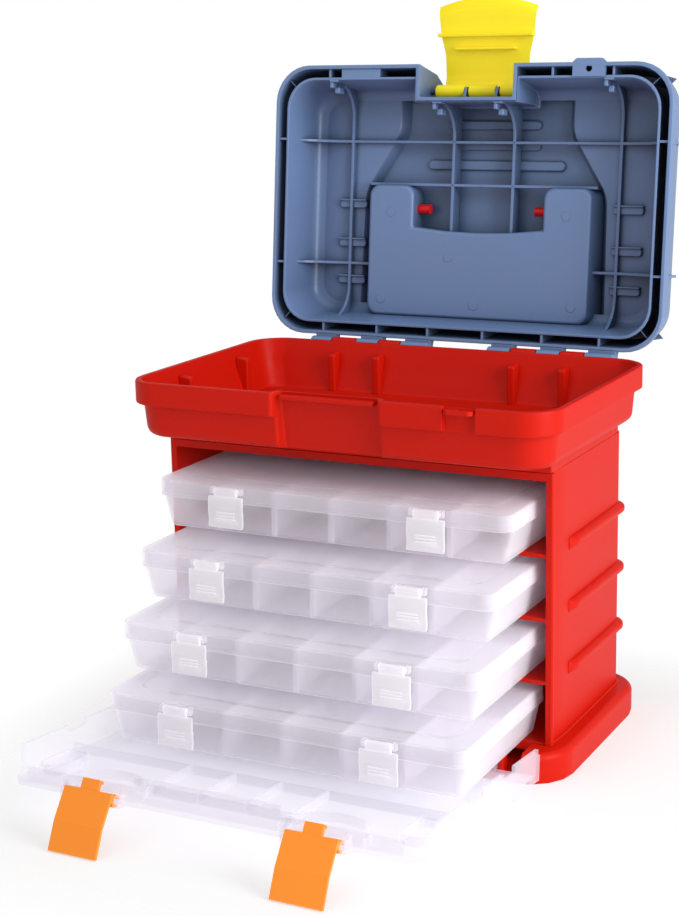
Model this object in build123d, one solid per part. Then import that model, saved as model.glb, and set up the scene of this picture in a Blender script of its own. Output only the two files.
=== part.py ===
# Small parts tool box: an open top bin with a hinged lid over four pull-out parts cases, with a
# drop-down clear front cover. It stands open, as it is used.
# Millimetres. +X is the right-hand side seen from the front, the front faces -Y, +Z is up, and the
# origin is the middle of the base's underside.
import os
from math import cos, radians, sin

from build123d import *

# Fits
seat_gap = 0.3              # between parts that rest on each other and then move
pin_clearance = 0.08        # radial, pin in a turning knuckle
socket_clearance = 0.25     # around the cabinet where it stands in the base
wall = 2.5                  # red and slate mouldings
clear_wall = 1.4            # clear cases
join = 0.5                  # how far two joined forms run into each other
over = 1.0                  # how far a cut runs past the face it opens

# Base
base_width = 277.4
base_depth = 160.0
base_height = 18.5
base_corner = 28.0
base_inner_corner = 17.0
base_edge = 4.5
base_plate = 3.0
sill_height = 5.0
hinge_bay = 116.0           # half width of the low sill between the base's two front horns
lug_thickness = 3.0
lug_reach = 3.8
lug_foot = 1.7              # how much further the lugs' feet reach back

# Cabinet
cabinet_width = 254.6
cabinet_front = -61.0
cabinet_back = 64.5
cabinet_top = 184.0
cabinet_back_corner = 7.0
opening_half = 124.0        # also the clear width inside
lip_proud = 1.3             # the frame's lip stands proud of the sides
lip_back = -58.0
groove_depth = 1.8          # the sides fall in toward the lip
groove_start = -36.0
header_height = 5.0
band_height = 7.5
band_proud = 4.0
band_edge = 2.4
band_front = -31.0
band_drop = 4.7             # bands start this far under each case
floor_top = 16.0
runner_reach = 18.0
runner_thickness = 2.5

# Top bin
bin_width = 280.0
bin_front = -96.0
bin_back = 84.0
bin_corner = 23.0
bin_top = 226.0
rim_band = 14.5
band_step = 4.0             # flare stands this far inside the rim band
flare_height = 20.5
flare_draft = 1.2
flare_round = 6.0           # height of the rounding under the flare
flare_round_inset = 4.5
bin_floor_thickness = 2.5
tub_front = 21.0            # bin's front to the foot of its inner front wall
rim_thickness = 4.0
recess_width = 64.0
recess_depth = 7.0
recess_foot_depth = 12.0
recess_flare = 6.0
catch_lip_drop = 1.5
catch_lip_thickness = 2.5
catch_lip_reach = 5.0
channel_inner = 50.0        # the two channels for the cover latches' tongues
channel_outer = 92.0
channel_depth = 4.8
channel_height = 6.0
hasp_x = 85.0
hasp_width = 20.0
hasp_reach = 2.6
hasp_hole_y = -94.6
hasp_hole_radius = 2.0
bin_rib_half = 2.6
bin_rib_drop = 7.5

# Lid, drawn closed and then swung open about its hinge
lid_width = 283.0
lid_front = -97.5
lid_back = 85.5
lid_corner = 25.0
lid_gap = 0.5               # closed lid above the bin's rim
lid_height = 40.0
lid_draft = 4.5
lid_bevel = 7.0             # broad bevel round the roof
lid_bevel_height = 9.0
crown_rise = 8.0            # raised middle of the roof
crown_slope = 5.0
crown_front_half = 60.0
crown_back_half = 86.0
crown_front = -88.0
crown_knee = -14.0
crown_back = 74.0
lid_hinge_y = 91.0
lid_hinge_z = 222.5
lid_open_angle = 96.4
knuckle_radius = 4.5
hinge_pin_radius = 2.0
channel_width = 5.5         # dark channel between the two walls round the lid
ring_wall = 2.0
notch_width = 67.0
notch_depth = 21.5
lid_rib_edge = 260.0
lid_rib_half = 1.1

# Carry handle in the lid's outer face
handle_well_width = 156.0
handle_well_back = 69.0
handle_well_front = -11.5
handle_grip_front = 15.5    # where the well's full width ends and its two arms begin
handle_arm_well = 28.0
handle_well_depth = 18.0
handle_thickness = 12.0
handle_grip = 25.0
handle_pivot_y = -2.5
handle_gap = 2.0
handle_corner = 10.0
handle_edge = 3.0
handle_pin_radius = 3.2
handle_pin_poke = 9.0

# Lid latch
latch_pivot_y = -81.0
latch_pivot_z = 248.5
latch_plate_y = -99.0
latch_thickness = 2.0
latch_base_width = 60.0
latch_tip_width = 74.0
latch_length = 62.0
latch_open_angle = 83.6
latch_hook_drop = 27.0
latch_rib_drop = 40.0
latch_knuckle = 4.4
latch_pin_radius = 2.2

# Parts cases, numbered from the top
case_width = 234.5
case_depth = 124.0
case_height = 31.0
case_tops = [166.9, 128.2, 89.5, 50.8]
case_fronts = [-96.5, -121.6, -144.3, -162.5]
case_corner = 9.0
case_lid_edge = 1.4
case_lid_skirt = 10.5
case_skirt_gap = 0.5
case_tray_inset = 2.2
case_tray_draft = 3.5
panel_inset = 15.0
panel_corner = 8.0
panel_rise = 0.8
compartments = 6
divider_thickness = 1.1
slot_rib = 1.6
slot_rib_depth = 1.2
case_ring_wall = 1.5
clip_x = 66.0
clip_width = 24.0
clip_length = 22.5
clip_thickness = 1.6
clip_barrel = 2.3
case_pin_radius = 1.2

# Front cover, drawn flat with its hinge line on the origin, then set at its open angle
cover_hinge_y = -77.0
cover_hinge_z = 13.5
cover_tilt = 5.5
cover_half_width = 129.5
cover_length = 166.0
cover_start = -7.0
cover_corner = 12.0
cover_plate_top = -5.0
cover_thickness = 2.2
cover_flange_top = 12.0
cover_flange = 2.0
cover_lobe_drop = 2.4
cover_lobe_width = 12.0
cover_rib_start = -106.0
cover_rib_end = -150.0
cover_rib_height = 6.0
cover_rib = 1.4
cover_hinge_x = 95.0
cover_hinge_width = 14.0
cover_rod_radius = 2.0
cover_knuckle_wall = 1.6

# Cover latches
cover_latch_x = 69.0
cover_latch_width = 31.0
cover_latch_length = 33.4
cover_latch_thickness = 1.8
cover_latch_knuckle = 3.6
cover_latch_rod = 1.9
cover_latch_lean = 33.5
cover_latch_pivot = 5.2     # pivot beyond the cover's front wall
cover_latch_drop = -3.5     # pivot above the cover's hinge plane
snap_mouth = 1.5
tongue_width = 11.0
tongue_length = 9.0
tongue_slot = 2.2


def block(x, y, z):
    """A box between three pairs of limits, given in either order."""
    middle = Pos((x[0] + x[1]) / 2, (y[0] + y[1]) / 2, (z[0] + z[1]) / 2)
    return middle * Box(abs(x[1] - x[0]), abs(y[1] - y[0]), abs(z[1] - z[0]))


def prism(width, front, back, radius, low, high):
    """An upright prism with rounded corners, centred on X."""
    outline = RectangleRounded(width, back - front, radius)
    return Pos(0, (front + back) / 2, low) * extrude(outline, high - low)


def plain_tapered(levels):
    """Like tapered, with its corners cut off straight, for hollows that repeat."""
    sections = []
    for width, front, back, cut, height in levels:
        half = width / 2
        near = [(half - cut, front), (half, front + cut), (half, back - cut), (half - cut, back)]
        sections.append(in_plan(near + [(-x, y) for x, y in reversed(near)], height))
    return loft(sections, ruled=True)


def tapered(levels):
    """A solid through rounded rectangles, each (width, front, back, radius, height)."""
    sections = []
    for width, front, back, radius, height in levels:
        sections.append(Pos(0, (front + back) / 2, height) * RectangleRounded(width, back - front, radius))
    return loft(sections, ruled=True)


def rod(x, y, z, radius):
    """A round bar along X."""
    return Pos((x[0] + x[1]) / 2, y, z) * Rot(0, 90, 0) * Cylinder(radius, abs(x[1] - x[0]))


def along_x(points, x):
    """A profile given by (y, z) points, carried between two limits in X."""
    outline = make_face(Polyline(*[(0, y, z) for y, z in points], close=True))
    return Pos(min(x), 0, 0) * extrude(outline, abs(x[1] - x[0]), dir=(1, 0, 0))


def in_plan(points, height):
    """A flat face from (x, y) points at one height."""
    return Pos(0, 0, height) * make_face(Polyline(*points, close=True))


def upright_edges(part, end):
    """The vertical edges at the front (0) or the back (-1) of a part."""
    return part.edges().filter_by(Axis.Z).group_by(Axis.Y)[end]


def turned(part, angle, y, z):
    """A part turned about a line along X."""
    return Pos(0, y, z) * Rot(angle, 0, 0) * Pos(0, -y, -z) * part


def open_lid(part):
    return turned(part, -lid_open_angle, lid_hinge_y, lid_hinge_z)


def open_cover(part):
    return Pos(0, cover_hinge_y, cover_hinge_z) * Rot(-cover_tilt, 0, 0) * part


# Base
def cabinet_column(grow, low, high):
    """The cabinet's outline in plan: a column with hollowed front corners and a lip across its front."""
    half = cabinet_width / 2 + grow
    column = block((-half, half), (lip_back - over, cabinet_back + grow), (low, high))
    column = fillet(upright_edges(column, -1), cabinet_back_corner + grow)
    for side in (-1, 1):
        past, deep = side * (half + over), side * (half - groove_depth)
        front = lip_back - 2 * over
        hollow = [(past, groove_start), (side * half, groove_start), (deep, lip_back), (deep, front),
                  (past, front)]
        column -= extrude(in_plan(hollow, low), high - low)
    lip = half + lip_proud
    return column + block((-lip, lip), (cabinet_front - grow, lip_back), (low, high))


def base_plinth():
    front = -base_depth / 2
    body = prism(base_width, front, -front, base_corner, 0, base_height)
    body = fillet(body.edges().group_by(Axis.Z)[-1], base_edge)
    inner = base_width / 2 - wall
    hollow = block((-inner, inner), (front + wall, -front - wall), (base_plate, base_height - wall))
    body -= chamfer(hollow.edges().filter_by(Axis.Z), base_inner_corner)
    body -= cabinet_column(socket_clearance, base_plate, base_height + over)
    # Low sill between two horns, where the cover is hinged
    bay_back = cabinet_front - socket_clearance
    body -= block((-hinge_bay, hinge_bay), (front - over, bay_back), (sill_height, base_height + over))
    bay = (front + wall - join, bay_back)
    body += block((-hinge_bay - wall, hinge_bay + wall), bay, (base_plate, sill_height))
    for side in (-1, 1):
        cheek = (side * hinge_bay, side * (hinge_bay + wall))
        body += block(cheek, bay, (base_plate, base_height - wall + join))
        centre = side * cover_hinge_x
        half = cover_hinge_width / 2
        lug_top = cover_hinge_z + lug_reach
        lug = [(cover_hinge_y - lug_reach + over, sill_height - join),
               (cover_hinge_y + lug_reach + lug_foot, sill_height - join),
               (cover_hinge_y + lug_reach, lug_top), (cover_hinge_y - lug_reach + over, lug_top)]
        for edge in (-1, 1):
            body += along_x(lug, (centre + edge * half, centre + edge * (half + lug_thickness)))
        body += rod((centre - half, centre + half), cover_hinge_y, cover_hinge_z, cover_rod_radius)
    return body


# Cabinet
def cabinet_shell():
    body = cabinet_column(0, base_plate, cabinet_top)
    band_half = cabinet_width / 2 + band_proud
    for top in case_tops[:3]:
        low = top - case_height - band_drop
        heights = (low, low + band_height)
        band = block((-band_half, band_half), (band_front, cabinet_back + band_proud), heights)
        band = fillet(upright_edges(band, -1), cabinet_back_corner + band_proud)
        levels = band.edges().group_by(Axis.Z)
        body += chamfer(levels[0] + levels[-1], band_edge)
    cavity = block((-opening_half, opening_half), (cabinet_front + wall, cabinet_back - wall),
                   (base_plate - over, cabinet_top + over))
    body -= cavity
    body -= block((-opening_half, opening_half), (cabinet_front - over, cabinet_front + wall + over),
                  (floor_top, cabinet_top - header_height))
    # Floor and runners, kept inside the rounded back corners
    inside = cabinet_column(-over, base_plate, cabinet_top)
    limits = (cabinet_front + over, cabinet_back - over)
    body += inside & block((-opening_half - join, opening_half + join), limits, (floor_top - wall, floor_top))
    for number, top in enumerate(case_tops):
        seat = top - case_height - seat_gap
        low = floor_top - join if number == 3 else seat - runner_thickness
        for side in (-1, 1):
            across = (side * (opening_half - runner_reach), side * (opening_half + join))
            body += inside & block(across, limits, (low, seat))
    return body


# Top bin
flare_top = bin_top - rim_band
flare_low = flare_top - flare_height
bin_floor = flare_low + bin_floor_thickness
flare_foot = band_step + flare_draft + flare_round_inset
recess_wall = bin_front + recess_depth
recess_foot = bin_front + recess_foot_depth


def bin_section(inset, height):
    return (bin_width - 2 * inset, bin_front + inset, bin_back - inset, bin_corner - inset / 2, height)


def recess_outline(back, grow, height):
    """The latch recess in plan, with slanted sides."""
    half = recess_width / 2 + grow
    wide, front = half + recess_flare, bin_front - recess_flare
    return in_plan([(-wide, front), (-half, back + grow), (half, back + grow), (wide, front)], height)


def bin_knuckle_spans():
    return [(-89.5, -71.5), (-54.0, -38.0), (42.0, 59.5), (76.5, 92.5)]


def lid_knuckle_spans():
    return [(-105.5, -90.1), (-70.9, -54.6), (-37.4, -19.0), (25.5, 41.4), (60.1, 75.9), (93.1, 111.5)]


def hinge_bore(group, reach):
    span = (group[0][0] - reach, group[-1][1] + reach)
    return rod(span, lid_hinge_y, lid_hinge_z, hinge_pin_radius + pin_clearance)


def top_bin():
    step = flare_low + flare_round
    body = tapered([bin_section(flare_foot, flare_low), bin_section(band_step + flare_draft, step)])
    body += tapered([bin_section(band_step + flare_draft, step), bin_section(band_step, flare_top)])
    body += prism(bin_width, bin_front, bin_back, bin_corner, flare_top, bin_top)
    # Foot on the cabinet
    half = cabinet_width / 2
    foot = block((-half, half), (cabinet_front, cabinet_back), (cabinet_top, flare_low + join))
    foot = fillet(upright_edges(foot, -1), cabinet_back_corner)
    foot_hollow = block((-opening_half, opening_half), (cabinet_front + wall, cabinet_back - wall),
                        (cabinet_top - over, flare_low))
    body += foot - foot_hollow
    # Tub, with the recess standing into it
    inset = flare_foot + wall
    tub_half = bin_width / 2 - inset
    back = bin_back - inset
    rim_half = bin_width / 2 - rim_thickness
    middle = bin_width / 2 - band_step - wall
    corner = bin_corner / 2
    tub_low = (2 * tub_half, bin_front + tub_front, back, corner, bin_floor)
    tub_mid = (2 * middle, bin_front + band_step + wall + over, bin_back - band_step - wall, corner + over,
               flare_top)
    tub_top = (2 * rim_half, bin_front + rim_thickness, bin_back - rim_thickness, bin_corner - rim_thickness,
               bin_top)
    tub_over = tub_top[:4] + (bin_top + over,)
    cavity = tapered([tub_low, tub_mid]) + tapered([tub_mid, tub_top]) + tapered([tub_top, tub_over])
    body -= cavity - loft([recess_outline(recess_foot, wall, bin_floor - over),
                           recess_outline(recess_wall, wall, bin_top)], ruled=True)
    body -= loft([recess_outline(recess_foot, 0, flare_low - over),
                  recess_outline(recess_wall, 0, bin_top + over)], ruled=True)
    # Lip that the lid latch hooks under
    lip_top = bin_top - catch_lip_drop
    lip = (lip_top - catch_lip_thickness, lip_top)
    half = recess_width / 2 - over
    body += block((-half, half), (recess_wall - catch_lip_reach, recess_wall + over), lip)
    # Channels under the front, behind its skirt, for the cover latches' tongues
    for side in (-1, 1):
        body -= block((side * channel_inner, side * channel_outer),
                      (bin_front + flare_foot + wall, bin_front + flare_foot + wall + channel_depth),
                      (flare_low - over, flare_low + channel_height))
    # Hasp place: a gap in the rim band with a small eye
    gap = (hasp_x - hasp_width / 2, hasp_x + hasp_width / 2)
    body -= block(gap, (bin_front - over, bin_front + band_step - over), (flare_top - over, bin_top + over))
    eye = (hasp_x - hasp_width / 2 + over, hasp_x + hasp_width / 2 - over)
    body += block(eye, (bin_front - hasp_reach, bin_front + band_step + over), lip)
    body -= Pos(hasp_x, hasp_hole_y, lip_top) * Cylinder(hasp_hole_radius, 4 * catch_lip_thickness)
    # Stiffening ribs on the back and left walls
    rib = (bin_floor - join, bin_top - bin_rib_drop)
    for x in (-80.7, -47.3, 49.7, 84.4):
        body += block((x - bin_rib_half, x + bin_rib_half), (back - wall, back + wall), rib)
    for y in (36.0, -36.0):
        body += block((-tub_half - wall, -tub_half + wall), (y - bin_rib_half, y + bin_rib_half), rib)
    # Knuckles
    web = [(bin_back - over, lid_hinge_z - 2 * knuckle_radius),
           (lid_hinge_y + over, lid_hinge_z - knuckle_radius + join), (lid_hinge_y + over, lid_hinge_z),
           (lid_hinge_y, lid_hinge_z + hinge_pin_radius), (bin_back - over, lid_hinge_z + hinge_pin_radius)]
    for span in bin_knuckle_spans():
        body += rod(span, lid_hinge_y, lid_hinge_z, knuckle_radius)
        body += along_x(web, span)
    for group in (lid_knuckle_spans()[:3], lid_knuckle_spans()[3:]):
        body -= hinge_bore(group, 0)
    return body


# Lid
lid_low = bin_top + lid_gap
lid_top = lid_low + lid_height
crown_top = lid_top + crown_rise
notch_back = lid_front + notch_depth
well_floor = crown_top - handle_well_depth
arm_inner = handle_well_width / 2 - handle_arm_well
handle_pivot_z = well_floor + handle_gap + handle_thickness / 2


def lid_section(inset, height, corner=lid_corner):
    return (lid_width - 2 * inset, lid_front + inset, lid_back - inset, corner - inset / 2, height)


def crown_outline(grow, height):
    """The raised middle of the roof in plan, widening toward the handle."""
    front, back = crown_front - grow, crown_back + grow
    near, far = crown_front_half + grow, crown_back_half + grow
    right = [(near, front), (far, crown_knee), (far, back)]
    return in_plan(right + [(-x, y) for x, y in reversed(right)], height)


def lid_form(inset):
    """The lid's outer form, or the same form set in by part of its wall."""
    rim = lid_section(inset, lid_low - over if inset else lid_low)
    bevel = lid_section(lid_draft + inset, lid_top - lid_bevel_height)
    roof = lid_section(lid_draft + lid_bevel + inset, lid_top - inset)
    body = tapered([rim, bevel]) + tapered([bevel, roof])
    return body + loft([crown_outline(crown_slope - inset, lid_top - inset - over),
                        crown_outline(-inset, crown_top - inset)], ruled=True)


def well_outline(grow, height):
    """The handle well in plan: a wide part for the grip and two arms toward the front."""
    half = handle_well_width / 2 + grow
    arm = arm_inner - grow
    back = handle_well_back + grow
    front = handle_well_front - grow
    grip = handle_grip_front - grow
    return in_plan([(-half, back), (-half, front), (-arm, front), (-arm, grip), (arm, grip), (arm, front),
                    (half, front), (half, back)], height)


def roof_rib(x, front, back, both_ends=True):
    """A rib along Y under the roof, curving out to the rim at its front end or at both."""
    low = lid_low + 5 * join
    rise = lid_rib_edge - low
    foot = [(0, 0), (0.1, 0.45), (0.35, 0.75), (0.75, 0.95), (1.0, 1.0)]
    profile = [(front + rise * a * 0.8, low + rise * b) for a, b in foot]
    if both_ends:
        profile += [(back - rise * a * 0.8, low + rise * b) for a, b in reversed(foot)]
    else:
        profile.append((back, lid_rib_edge))
    profile += [(back, crown_top), (front, crown_top)]
    return along_x(profile, (x - lid_rib_half, x + lid_rib_half))


def lid_shell():
    half = notch_width / 2
    outer = lid_form(0)
    body = outer - lid_form(wall)
    # Second wall, set in by the channel
    ring = wall + channel_width
    low, high = lid_low + over, lid_top - wall + join
    inside = ring + ring_wall
    body += (tapered([lid_section(ring, low), lid_section(ring + lid_draft, high)])
             - tapered([lid_section(inside, low - over), lid_section(inside + lid_draft, high)]))
    # Webs across the channel, ribs under the roof and the notch's walls, all kept inside the skin
    reach = ring + over
    web = (lid_low + 3 * over, lid_top - lid_bevel_height)
    inner = []
    for x in (-101.0, -63.0, 60.0, 99.5):
        inner.append(block((x - 0.9, x + 0.9), (lid_back - reach, lid_back), web))
        inner.append(block((x - 0.9, x + 0.9), (lid_front, lid_front + reach), web))
    for side in (-1, 1):
        across = (side * lid_width / 2, side * (lid_width / 2 - reach))
        for y in (-48.5, 36.5):
            inner.append(block(across, (y - 0.9, y + 0.9), web))
    front, back = lid_front + ring + over, lid_back - ring - over
    for x in (-98.0, 98.0):
        inner.append(roof_rib(x, front, back))
    for x in (-18.0, 24.0):
        inner.append(roof_rib(x, notch_back + over, handle_grip_front, False))
    span = lid_width / 2 - reach
    for y, start in ((-48.0, 0), (-19.0, 0), (36.5, handle_well_width / 2 + over)):
        for side in (-1, 1):
            inner.append(block((side * start, side * span), (y - lid_rib_half, y + lid_rib_half),
                               (lid_rib_edge, crown_top)))
    upright = (lid_low + over, crown_top)
    inner.append(block((-half - wall, half + wall), (notch_back, notch_back + wall), upright))
    for side in (-1, 1):
        across = (side * half, side * (half + wall))
        inner.append(block(across, (lid_front + wall - join, notch_back + over), upright))
    middle = lid_form(wall / 2)
    body += [piece & middle for piece in inner]
    # Handle well
    body += extrude(well_outline(wall, well_floor - wall), handle_well_depth)
    body -= extrude(well_outline(0, well_floor), handle_well_depth + over)
    for side in (-1, 1):
        across = (side * (arm_inner - wall - over), side * (arm_inner + over))
        body -= rod(across, handle_pivot_y, handle_pivot_z, handle_pin_radius + pin_clearance)
    # Notch for the latch at the front, and the lugs that carry it
    body -= block((-half, half), (lid_front - over, notch_back), (lid_low - over, crown_top + over))
    lug = [(notch_back + join, latch_pivot_z - 8), (latch_pivot_y - 3, latch_pivot_z - 3.4),
           (latch_pivot_y - 3, latch_pivot_z + 3.4), (notch_back + join, latch_pivot_z + 4)]
    for span in latch_lug_spans():
        body += along_x(lug, span)
    body -= rod((-half - wall - over, half + wall + over), latch_pivot_y, latch_pivot_z, latch_pin_radius)
    # Hasp tab with its eye
    tab = (hasp_x - hasp_width / 2 - over, hasp_x + hasp_width / 2 + over)
    body += block(tab, (lid_front - hasp_reach, lid_front + ring + over), (lid_low, lid_low + wall))
    body -= Pos(hasp_x, hasp_hole_y, lid_low) * Cylinder(hasp_hole_radius, 2 * wall + join)
    web = [(lid_back - 1.5, lid_low), (lid_hinge_y - 3, lid_low), (lid_hinge_y, lid_hinge_z),
           (lid_hinge_y + knuckle_radius, lid_hinge_z), (lid_hinge_y + 3, lid_low + 5),
           (lid_back - 1.5, lid_low + 8)]
    for span in lid_knuckle_spans():
        body += rod(span, lid_hinge_y, lid_hinge_z, knuckle_radius)
        body += along_x(web, span)
    for group in (lid_knuckle_spans()[:3], lid_knuckle_spans()[3:]):
        body -= hinge_bore(group, over)
    return open_lid(body)


def lid_hinge_pin(group):
    return rod((group[0][0] + join, group[-1][1] - join), lid_hinge_y, lid_hinge_z, hinge_pin_radius)


# Carry handle
def carry_handle():
    outer = handle_well_width / 2 - handle_gap
    inner = arm_inner + handle_gap
    thick = (well_floor + handle_gap, well_floor + handle_gap + handle_thickness)
    back = handle_well_back - handle_gap
    front = handle_pivot_y - handle_thickness / 2
    shape = block((-outer, outer), (front, back), thick)
    shape = chamfer(upright_edges(shape, -1), handle_corner)
    shape = chamfer(shape.edges().filter_by(Axis.X).group_by(Axis.Y)[-1], handle_edge)
    cut = (well_floor, well_floor + 2 * handle_thickness)
    shape -= block((-inner, inner), (front - over, back - handle_grip), cut)
    shape = fillet(shape.edges().filter_by(Axis.X).group_by(Axis.Y)[0], handle_thickness / 2 - 0.1)
    for side in (-1, 1):
        shape += rod((side * (arm_inner - wall - handle_pin_poke), side * (inner + over)), handle_pivot_y,
                     handle_pivot_z, handle_pin_radius)
    return open_lid(shape)


# Lid latch
def latch_knuckle_spans():
    return [(-29.5, -8.5), (-5.5, 14.0), (17.0, 29.5)]


def latch_lug_spans():
    return [(-8.0, -6.0), (14.5, 16.5)]


def lid_latch():
    y, z = latch_pivot_y, latch_pivot_z
    plate = latch_plate_y
    hook = z - latch_hook_drop
    tip = z - latch_length
    inner = plate + latch_thickness
    profile = [(y - 2, z + latch_knuckle), (y - 9, z + 3.5), (plate + 4, z - 1), (plate, z - 8),
               (plate, tip + 10), (plate - 3.5, tip), (plate - 1.8, tip - 0.6), (inner, tip + 10),
               (inner, z - 8.5), (plate + 5.2, z - 2.8), (y - 9, z + 1.5), (y - 3, z + 1)]
    # The plate widens below the hook into the finger pull
    base = latch_base_width / 2
    wide = latch_tip_width / 2
    side = [(base, z + 12), (base, hook + 2), (wide, hook - 8), (wide, tip + 6), (wide - 6, tip - 2)]
    outline = [(a, plate - 8, b) for a, b in side] + [(-a, plate - 8, b) for a, b in reversed(side)]
    shape = make_face(Polyline(*outline, close=True))
    body = along_x(profile, (-wide, wide)) & extrude(shape, 40, dir=(0, 1, 0))
    body += block((-base + 2, base - 2), (inner - join, recess_wall - catch_lip_reach + 3), (hook - 4, hook))
    rib_top = z - latch_rib_drop
    body += block((-wide + 3, wide - 3), (inner - join, inner + over), (rib_top - over, rib_top))
    for span in latch_knuckle_spans():
        body += rod(span, y, z, latch_knuckle)
    for low, high in latch_lug_spans():
        body -= block((low - join, high + join), (y - 10, y + 10), (z - 9, z + 9))
    body -= rod((-base - over, base + over), y, z, latch_pin_radius + pin_clearance)
    return open_lid(turned(body, -latch_open_angle, y, z))


def lid_latch_pin():
    half = notch_width / 2 + wall / 2
    return open_lid(rod((-half, half), latch_pivot_y, latch_pivot_z, latch_pin_radius))


# Parts cases, drawn with the front face on y = 0 and the bottom on z = 0
skirt_low = case_height - case_lid_skirt
tray_top = case_height - clear_wall - seat_gap
low_inset = case_tray_inset + case_tray_draft
hinge_back_y = case_depth + 2.3
hinge_back_z = skirt_low - 3.2
case_hinge_spans = [(-72.0, -60.0), (60.0, 72.0)]
clip_pivot_y = -2.6
clip_pivot_z = case_height - 2.8
catch_low = clip_pivot_z - clip_length + 5.6
catch_front = -0.8


def tray_section(inset, height, corner):
    return (case_width - 2 * inset, inset, case_depth - inset, corner, height)


def divider_positions():
    pitch = (case_width - 2 * case_tray_inset) / compartments
    return [pitch * (k - compartments / 2) for k in range(1, compartments)]


def case_tray():
    rim = clear_wall + case_skirt_gap
    body = tapered([tray_section(low_inset, 0, 5), tray_section(case_tray_inset, skirt_low, 7)])
    body = chamfer(body.faces().sort_by(Axis.Z)[0].edges(), 2 * clear_wall)
    body += prism(case_width - 2 * rim, rim, case_depth - rim, 7, skirt_low - join, tray_top)
    inside = rim + clear_wall
    body -= plain_tapered([tray_section(low_inset + clear_wall, clear_wall, 3), tray_section(inside, skirt_low, 4),
                           tray_section(inside, tray_top + over, 4)])
    middle = case_depth / 2
    rib = (clear_wall - join, tray_top - 2)
    half = case_width / 2 - low_inset - clear_wall / 2
    body += block((-half, half), (middle - clear_wall / 2, middle + clear_wall / 2), rib)
    # Slot ribs stand against the sloping walls and on both sides of the middle one
    wall_front = low_inset + clear_wall
    leaning = [(wall_front - join, rib[0]), (wall_front + slot_rib_depth, rib[0]),
               (wall_front + slot_rib_depth, rib[1]), (inside - join, rib[1]), (inside - join, skirt_low)]
    facing = [(case_depth - y, z) for y, z in leaning]
    for x in divider_positions():
        for edge in (-1, 1):
            near = x + edge * (divider_thickness / 2 + pin_clearance + slot_rib / 2)
            across = (near - slot_rib / 2, near + slot_rib / 2)
            body += [along_x(leaning, across), along_x(facing, across)]
            body += block(across, (middle - 2 * slot_rib_depth, middle + 2 * slot_rib_depth), rib)
    # Catches for the two clips, and rings for the lid's rods at the back
    ring_radius = case_pin_radius + case_ring_wall
    for side in (-1, 1):
        across = (side * clip_x - 8, side * clip_x + 8)
        body += block(across, (catch_front, low_inset), (catch_low, catch_low + 2))
    for low, high in case_hinge_spans:
        span = (low + 2.5, high - 2.5)
        body += rod(span, hinge_back_y, hinge_back_z, ring_radius)
        body += block(span, (case_depth - low_inset, hinge_back_y), (hinge_back_z - 2.4, hinge_back_z - 0.6))
        body -= rod(span, hinge_back_y, hinge_back_z, case_pin_radius + pin_clearance)
    return body


def case_lid():
    body = prism(case_width, 0, case_depth, case_corner, skirt_low, case_height)
    body = chamfer(body.edges().group_by(Axis.Z)[-1], case_lid_edge)
    inner = (case_width - 2 * clear_wall, clear_wall, case_depth - clear_wall, case_corner / 2)
    body -= plain_tapered([inner + (skirt_low - over,), inner + (case_height - clear_wall,)])
    body += prism(case_width - 2 * panel_inset, panel_inset, case_depth - panel_inset, panel_corner,
                  case_height - join, case_height + panel_rise)
    ear = [(join, clip_pivot_z - 2.2), (clip_pivot_y - 1.2, clip_pivot_z - 1.8),
           (clip_pivot_y - 1.2, clip_pivot_z + 1.8), (join, clip_pivot_z + 2.2)]
    for side in (-1, 1):
        centre = side * clip_x
        for x in (centre - 9.4, centre + 9.4):
            body += along_x(ear, (x - 1.2, x + 1.2))
        body += rod((centre - 9, centre + 9), clip_pivot_y, clip_pivot_z, case_pin_radius - 0.2)
    arm = [(case_depth - 1, skirt_low + 5), (case_depth - 1, skirt_low), (case_depth + 0.3, hinge_back_z - 2),
           (hinge_back_y + 1.9, hinge_back_z - 2), (hinge_back_y + 1.9, hinge_back_z + 1.5)]
    for low, high in case_hinge_spans:
        for x in (low + 1, high - 1):
            body += along_x(arm, (x - 1, x + 1))
        body += rod((low + 1, high - 1), hinge_back_y, hinge_back_z, case_pin_radius)
    return body


def case_dividers():
    """Loose cross walls, one in each pair of slot ribs, in both rows."""
    middle = case_depth / 2
    wall_front = low_inset + clear_wall + seat_gap
    near = middle - clear_wall / 2 - seat_gap
    upright = (clear_wall + seat_gap, tray_top - 2)
    walls = []
    for x in divider_positions():
        across = (x - divider_thickness / 2, x + divider_thickness / 2)
        walls.append(block(across, (wall_front, near), upright))
        walls.append(block(across, (case_depth - near, case_depth - wall_front), upright))
    return walls


def case_clip(side):
    """A clip that hooks under the tray's catch."""
    x = side * clip_x
    y, z = clip_pivot_y, clip_pivot_z
    tip = z - clip_length
    half = clip_width / 2
    front = y - 1.4
    inner = front + clip_thickness
    profile = [(front, z - 3.2), (front - 0.6, z - 11), (front, tip + 4), (front - 0.9, tip),
               (front + 0.4, tip - 0.3), (inner, tip + 4), (inner - 0.6, z - 11), (inner, z - 3.2)]
    body = along_x(profile, (x - half, x + half))
    r, flat = clip_barrel, 0.4 * clip_barrel
    barrel = [(y - r, z - 3.4), (y - r, z + flat), (y - flat, z + r), (y + flat, z + r), (y + r, z + flat),
              (y + r, z - flat), (inner, z - 3.4)]
    body += along_x(barrel, (x - 7.8, x + 7.8))
    nose = (catch_low - 2.6, catch_low - seat_gap)
    body += block((x - 7.5, x + 7.5), (front + join, catch_front - seat_gap), nose)
    body -= rod((x - 9, x + 9), y, z, case_pin_radius - 0.2 + pin_clearance)
    return body


# Front cover
latch_axis_y = -(cover_length + cover_latch_pivot)
latch_lug_half = cover_latch_width / 2 + 0.6


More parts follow.
